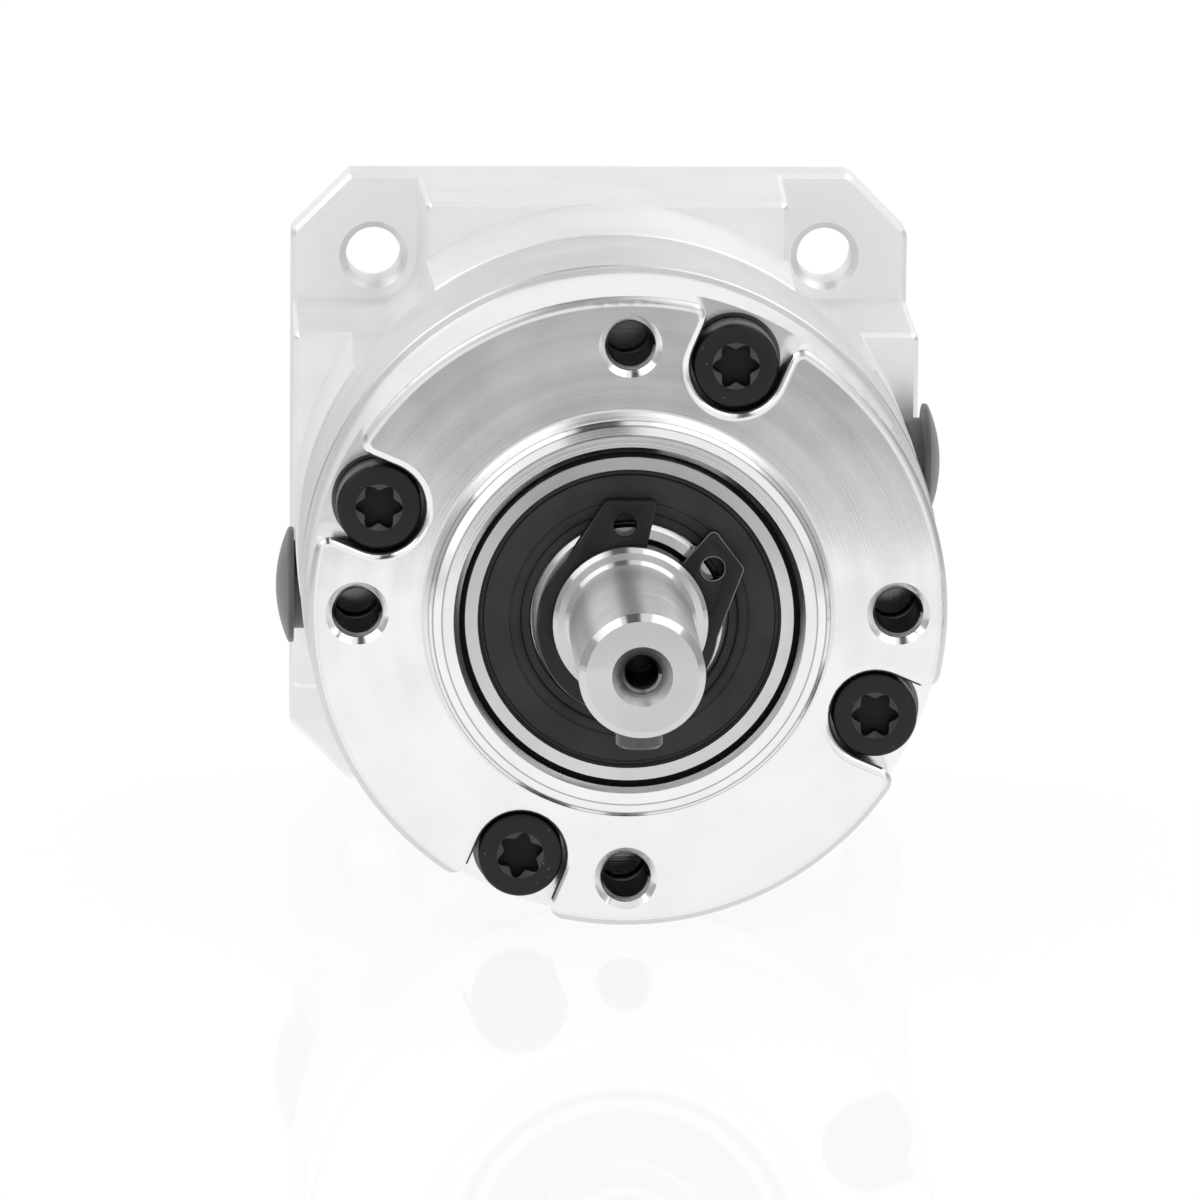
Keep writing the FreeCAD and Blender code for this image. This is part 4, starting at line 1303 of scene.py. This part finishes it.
@dataclass
class AccessPlugs:
    """Two domed rubber plugs in the sides of the adapter."""

    seat: float = 21.15
    depth: float = ACCESS_DEPTH
    height: float = ACCESS_HEIGHT
    stem_radius: float = 2.95
    stem_length: float = 5.0
    stem_bevel: float = 0.5
    groove: float = 0.25
    groove_count: int = 2
    groove_pitch: float = 1.7
    groove_marks: tuple[float, ...] = (0.9, 1.2, 1.7, 2.1)
    cap_radius: float = 3.9
    cap_rim: float = 0.35
    dome: float = 0.85
    dome_steps: int = 10
    edge: float = 0.12
    edge_angle: float = 35.0
    smooth_angle: float = 30.0
    faces: int = 64

    def section(self) -> Profile:
        """Gives the half section of a plug that points along +X.

        Returns:
            Radius and place of each corner.
        """
        sphere = (self.cap_radius ** 2 + self.dome ** 2) / 2 / self.dome
        reach = math.asin(self.cap_radius / sphere)
        top = self.cap_rim + self.dome
        crown = []
        for step in range(self.dome_steps + 1):
            turn = reach * step / self.dome_steps
            crown.append((sphere * math.sin(turn), top - sphere + sphere * math.cos(turn)))
        stem = self.stem_radius
        waist = stem - self.groove
        end = -self.stem_length
        barbs = []
        for index in range(self.groove_count):
            start, down, up, stop = (-mark - index * self.groove_pitch for mark in self.groove_marks)
            barbs += [(stem, start), (waist, down), (waist, up), (stem, stop)]
        foot = [(stem, end + self.stem_bevel), (stem - self.stem_bevel, end), (0.0, end)]
        return crown + [(self.cap_radius, 0.0), (stem, 0.0)] + barbs + foot

    def build(self, wardrobe: Wardrobe) -> None:
        """Turns one plug and sets a copy into each side.

        Args:
            wardrobe: The finishes.
        """
        pattern = turned("plug_pattern", self.section(), Axis.X, steps=self.faces)
        round_edges(pattern, self.edge, angle=self.edge_angle)
        shade(pattern, self.smooth_angle)
        for name, side in (("left", -1), ("right", 1)):
            turn = Matrix.Identity(4) if side > 0 else Matrix.Rotation(math.pi, 4, "Y")
            place = Vector((side * self.seat, self.depth, side * self.height))
            plug = copied(pattern, f"{name}_plug_moulding", Matrix.Translation(place * MM) @ turn)
            wardrobe.piece(plug, f"{name}_plug", PLUG_RUBBER.name, f"{name}_access_plug")
        bpy.data.objects.remove(pattern)


@dataclass
class ClampScrews:
    """Two socket head screws that close the split hub on the motor shaft."""

    depth: float = ACCESS_DEPTH
    height: float = ACCESS_HEIGHT
    seat: float = 4.9
    blank: ScrewBlank = ScrewBlank(
        head_radius=2.25, head_height=2.5, head_edge=0.2, edge_faces=3,
        shank_radius=1.25, core_radius=1.02, thread_start=5.5, end=12.5,
        neck=0.3, point=0.4, point_drop=0.3, pitch=0.45, run_out=1.0,
        faces=48, thread_faces=24,
    )
    key_width: float = 2.0
    key_depth: float = 1.2

    def one(self) -> bpy.types.Object:
        """Models one screw along Y with its head face at the origin plane.

        Returns:
            The screw.
        """
        screw = self.blank.body("clamp_pattern")
        cut_out(screw, prism("hexagon_cutter", 6, self.key_width / math.sqrt(3.0), self.key_depth))
        self.blank.add_thread(screw)
        return screw

    def build(self, wardrobe: Wardrobe) -> None:
        """Sets a copy into each side of the hub.

        Args:
            wardrobe: The finishes.
        """
        pattern = self.one()
        for name, side in (("left", -1), ("right", 1)):
            top = side * (self.seat + self.blank.head_height)
            place = Vector((top, self.depth, side * self.height))
            lie = Matrix.Rotation(side * math.pi / 2, 4, "Z")
            screw = copied(pattern, f"{name}_clamp_screw", Matrix.Translation(place * MM) @ lie)
            wardrobe.piece(screw, "input", BLACK_OXIDE.name, "clamp_screws")
        bpy.data.objects.remove(pattern)


@dataclass
class SealingRing:
    """A round section O-ring that lies in a spigot groove."""

    node: str
    outer: float = 15.0
    height: float = 0.65
    width: float = 0.9
    steps: int = 14
    faces: int = 96
    smooth_angle: float = 60.0

    def build(self, wardrobe: Wardrobe) -> None:
        """Spins an oval section in the place of the node.

        Args:
            wardrobe: The finishes.
        """
        low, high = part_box(self.node)
        middle = (low.y + high.y) / 2 / MM
        half = self.height / 2
        oval = []
        for step in range(self.steps + 1):
            turn = FULL_TURN * step / self.steps
            radius = self.outer - half + half * math.cos(turn)
            oval.append((radius, middle + self.width / 2 * math.sin(turn)))
        ring = turned(f"{self.node}_moulding", oval, steps=self.faces)
        shade(ring, self.smooth_angle)
        wardrobe.piece(ring, "housing", SEAL_RUBBER.name, self.node)


@dataclass
class InnerWorks:
    """Nodes whose solids already have their final shape."""

    plain: tuple[tuple[str, str], ...] = (
        ("ring_gear", RING_STEEL.name),
        ("motor_adapter", ADAPTER_ALUMINIUM.name),
        ("input_hub", SHAFT_STEEL.name),
        ("planet_thrust_washers", BUSH_BRONZE.name),
    )
    bearings: tuple[str, ...] = ("front", "rear", "input")
    planets: int = 3

    def build(self, wardrobe: Wardrobe) -> None:
        """Dresses the housing bands, the gears and the bearings.

        Args:
            wardrobe: The finishes.
        """
        for name, slot in self.plain:
            wardrobe.node(name, slot)
        for bearing in self.bearings:
            wardrobe.node(f"{bearing}_bearing_outer_ring", BEARING_STEEL.name)
            wardrobe.node(f"{bearing}_bearing_inner_ring", BEARING_STEEL.name)
            wardrobe.node(f"{bearing}_bearing_balls", BALL_STEEL.name)
            wardrobe.node(f"{bearing}_bearing_cage", CAGE_NYLON.name)
        for number in range(1, self.planets + 1):
            wardrobe.node(f"planet_gear_{number}", GEAR_STEEL.name)
            wardrobe.node(f"planet_bush_{number}", BUSH_BRONZE.name)
            wardrobe.node(f"planet_pin_{number}", BEARING_STEEL.name)


# Studio

@dataclass(frozen=True)
class Softbox:
    """A soft area lamp, whose face is white at a radiance of 1. Lengths are metres."""

    name: str
    place: tuple[float, float, float]
    size: tuple[float, float]
    radiance: float

    def hang(self, aim: Vector) -> None:
        """Hangs the lamp.

        Args:
            aim: The point that it faces.
        """
        deselect()
        bpy.ops.object.light_add(type="AREA", location=self.place)
        lamp = bpy.context.object
        lamp.name = self.name
        lamp.data.shape = "RECTANGLE"
        lamp.data.size, lamp.data.size_y = self.size
        lamp.data.energy = self.radiance * math.pi * self.size[0] * self.size[1]
        lamp.rotation_mode = "QUATERNION"
        lamp.rotation_quaternion = (aim - Vector(self.place)).to_track_quat("-Z", "Y")


@dataclass
class Studio:
    """Floor, light and camera. Lengths are metres."""

    floor_height: float = -0.02115
    floor_size: float = 4.0
    sheet_low: tuple[float, float] = (-0.2, -0.34)
    sheet_high: tuple[float, float] = (0.2, 0.085)
    card_low: tuple[float, float] = (-0.055, -0.34)
    card_high: tuple[float, float] = (0.07, -0.143)
    table_tone: float = 0.74
    card_tone: float = 0.42
    paper_tone: float = 1.03
    mirror_share: float = 0.09
    mirror_roughness: float = 0.03
    shade_share: float = 0.1
    ambient: float = 0.85
    surround: float = 0.93
    side_drop: float = 0.5
    side_rise: tuple[float, float] = (0.62, 0.9)
    gap_drop: float = 0.83
    gap_tilt: float = 8.5
    gap_half: float = 0.14
    gap_edge: float = 0.03
    gap_rise: tuple[float, float] = (0.4, 0.65)
    aim: tuple[float, float, float] = (0.0, 0.01, 0.0)
    softboxes: tuple[Softbox, ...] = (
        Softbox("overhead_left_softbox", (-0.386, 0.05, 0.46), size=(0.52, 0.4), radiance=0.8),
        Softbox("overhead_right_softbox", (0.3, 0.05, 0.52), size=(0.72, 0.4), radiance=0.8),
        Softbox("left_softbox", (-0.45, -0.5, 0.25), size=(0.3, 0.4), radiance=0.25),
        Softbox("right_softbox", (0.55, -0.35, 0.25), size=(0.3, 0.4), radiance=0.25),
    )
    azimuth: float = -2.585
    elevation: float = 10.996
    roll: float = 0.501
    distance: float = 0.717
    focal_pixels: float = 11101.0
    image_pixels: float = 1200.0
    sensor: float = 36.0
    offset_pixels: tuple[float, float] = (28.35, 13.3)
    clip: tuple[float, float] = (0.01, 20.0)

    def inside(
        self, sheet: Sheet, low: tuple[float, float], high: tuple[float, float]
    ) -> bpy.types.NodeSocket:
        """Marks a rectangle on the floor.

        Args:
            sheet: The floor material's sheet.
            low: Its corner with the lowest X and Y.
            high: Its corner with the highest X and Y.

        Returns:
            A mask that is 1 inside the rectangle.
        """
        parts = sheet.add("ShaderNodeSeparateXYZ")
        sheet.put(parts.inputs[0], sheet.add("ShaderNodeTexCoord").outputs["Object"])
        mask = None
        for axis, start, end in (("X", low[0], high[0]), ("Y", low[1], high[1])):
            past = sheet.math("GREATER_THAN", parts.outputs[axis], start)
            short = sheet.math("LESS_THAN", parts.outputs[axis], end)
            both = sheet.math("MULTIPLY", past, short)
            mask = both if mask is None else sheet.math("MULTIPLY", mask, both)
        return mask

    def floor_material(self) -> bpy.types.Material:
        """Builds the floor, white with a soft shadow to the camera.

        Metal mirrors it as a white sheet on a grey table, with a grey card in front of the part.

        Returns:
            The material.
        """
        material, sheet, shader = new_material("floor")
        material.node_tree.nodes.remove(shader)
        output = material.node_tree.nodes["Material Output"]
        path = sheet.add("ShaderNodeLightPath")
        straight = path.outputs["Is Camera Ray"]
        on_sheet = self.inside(sheet, self.sheet_low, self.sheet_high)
        on_card = self.inside(sheet, self.card_low, self.card_high)
        tone = sheet.blend(on_sheet, dimmed(WHITE, self.table_tone), dimmed(WHITE, 1.0))
        tone = sheet.blend(on_card, tone, dimmed(WHITE, self.card_tone))
        tone = sheet.blend(straight, tone, dimmed(WHITE, self.paper_tone))
        matt = sheet.add("ShaderNodeBsdfDiffuse")
        sheet.put(matt.inputs["Color"], tone)
        white = sheet.add("ShaderNodeEmission")
        sheet.put(white.inputs["Color"], tone)
        gloss = sheet.add("ShaderNodeBsdfGlossy")
        gloss.inputs["Roughness"].default_value = self.mirror_roughness
        pale = sheet.mix(self.shade_share, white.outputs[0], matt.outputs[0])
        shine = sheet.math("MULTIPLY", straight, self.mirror_share)
        mirrored = sheet.mix(shine, pale, gloss.outputs[0])
        seen = sheet.math("MAXIMUM", straight, path.outputs["Is Glossy Ray"])
        seen = sheet.math("MAXIMUM", seen, path.outputs["Is Transmission Ray"])
        sheet.put(output.inputs["Surface"], sheet.mix(seen, matt.outputs[0], mirrored))
        return material

    def floor(self) -> None:
        """Lays the floor."""
        deselect()
        bpy.ops.mesh.primitive_plane_add(size=self.floor_size, location=(0.0, 0.0, self.floor_height))
        plane = bpy.context.object
        plane.name = "floor"
        bpy.ops.object.transform_apply(location=True, rotation=True, scale=True)
        plane.data.materials.append(self.floor_material())

    def world(self) -> None:
        """Makes the surroundings white to the camera and dimmer elsewhere.

        Metal mirrors them greyer to the sides, and dark between the two overhead softboxes.
        """
        world = bpy.data.worlds.new("studio")
        bpy.context.scene.world = world
        world.use_nodes = True
        sheet = Sheet(world.node_tree)
        path = sheet.add("ShaderNodeLightPath")
        glossy = path.outputs["Is Glossy Ray"]
        mirrored = sheet.math("MAXIMUM", glossy, path.outputs["Is Transmission Ray"])
        direction = sheet.add("ShaderNodeSeparateXYZ")
        sheet.put(direction.inputs[0], sheet.add("ShaderNodeTexCoord").outputs["Generated"])
        across = direction.outputs["X"]
        up = direction.outputs["Z"]
        sides = sheet.ramp(sheet.math("ABSOLUTE", across), *self.side_rise)
        lift = sheet.math("MULTIPLY_ADD", sides, -self.side_drop, self.surround - self.ambient)
        tilt = math.radians(self.gap_tilt)
        raised = sheet.math("MULTIPLY", up, math.sin(tilt))
        aside = sheet.math("ABSOLUTE", sheet.math("MULTIPLY_ADD", across, math.cos(tilt), raised))
        between = sheet.ramp(aside, self.gap_half + self.gap_edge, self.gap_half - self.gap_edge)
        gap = sheet.math("MULTIPLY", between, sheet.ramp(up, *self.gap_rise))
        lift = sheet.math("MULTIPLY_ADD", gap, -self.gap_drop, lift)
        strength = sheet.math("MULTIPLY_ADD", mirrored, lift, self.ambient)
        straight = sheet.math("MULTIPLY", path.outputs["Is Camera Ray"], 1.0 - self.ambient)
        background = world.node_tree.nodes["Background"]
        background.inputs["Color"].default_value = dimmed(WHITE, 1.0)
        sheet.put(background.inputs["Strength"], sheet.math("ADD", strength, straight))

    def lamps(self) -> None:
        """Hangs two large softboxes overhead and a smaller one at each side of the camera."""
        for softbox in self.softboxes:
            softbox.hang(Vector(self.aim))

    def camera(self) -> None:
        """Sets the camera at the photograph's angle."""
        turn = math.radians(self.azimuth)
        rise = math.radians(self.elevation)
        back = Vector((math.sin(turn) * math.cos(rise), -math.cos(turn) * math.cos(rise), math.sin(rise)))
        right = (-back).cross(Vector((0.0, 0.0, 1.0))).normalized()
        up = right.cross(-back)
        metres_per_pixel = self.distance / self.focal_pixels
        across, down = self.offset_pixels
        target = (up * down - right * across) * metres_per_pixel
        deselect()
        bpy.ops.object.camera_add(location=back * self.distance)
        camera = bpy.context.object
        camera.name = "camera"
        camera.rotation_mode = "QUATERNION"
        aim = (target - camera.location).to_track_quat("-Z", "Y")
        camera.rotation_quaternion = aim @ Quaternion((0.0, 0.0, 1.0), math.radians(self.roll))
        camera.data.sensor_width = self.sensor
        camera.data.lens = self.focal_pixels / self.image_pixels * self.sensor
        camera.data.clip_start, camera.data.clip_end = self.clip
        bpy.context.scene.camera = camera

    def build(self) -> None:
        """Sets up the whole studio."""
        bpy.context.scene.view_settings.view_transform = "Standard"
        self.floor()
        self.world()
        self.lamps()
        self.camera()


def main() -> None:
    """Builds every sub-assembly and then the studio."""
    logging.basicConfig(level=logging.INFO, format="%(message)s")
    wardrobe = Wardrobe()
    assemblies = [
        OutputFlange(),
        FlangeScrews(),
        BearingSeals("front", front=-1.9, width=6.0, inner=6.35, outer=9.79, lip=7.04),
        BearingSeals("rear", front=5.1, width=6.0, inner=6.35, outer=9.79, lip=7.04),
        BearingSeals("input", front=23.9, width=5.0, inner=8.5125, outer=11.09, lip=9.03),
        RetainingRing("shaft_circlip", "output"),
        RetainingRing("input_circlip", "input"),
        OutputShaft(),
        AccessPlugs(),
        ClampScrews(),
        SealingRing("flange_o_ring"),
        SealingRing("adapter_o_ring"),
        InnerWorks(),
    ]
    for assembly in assemblies:
        assembly.build(wardrobe)
    log.info("%d pieces made", wardrobe.count)
    Studio().build()


if __name__ == "__main__":
    main()
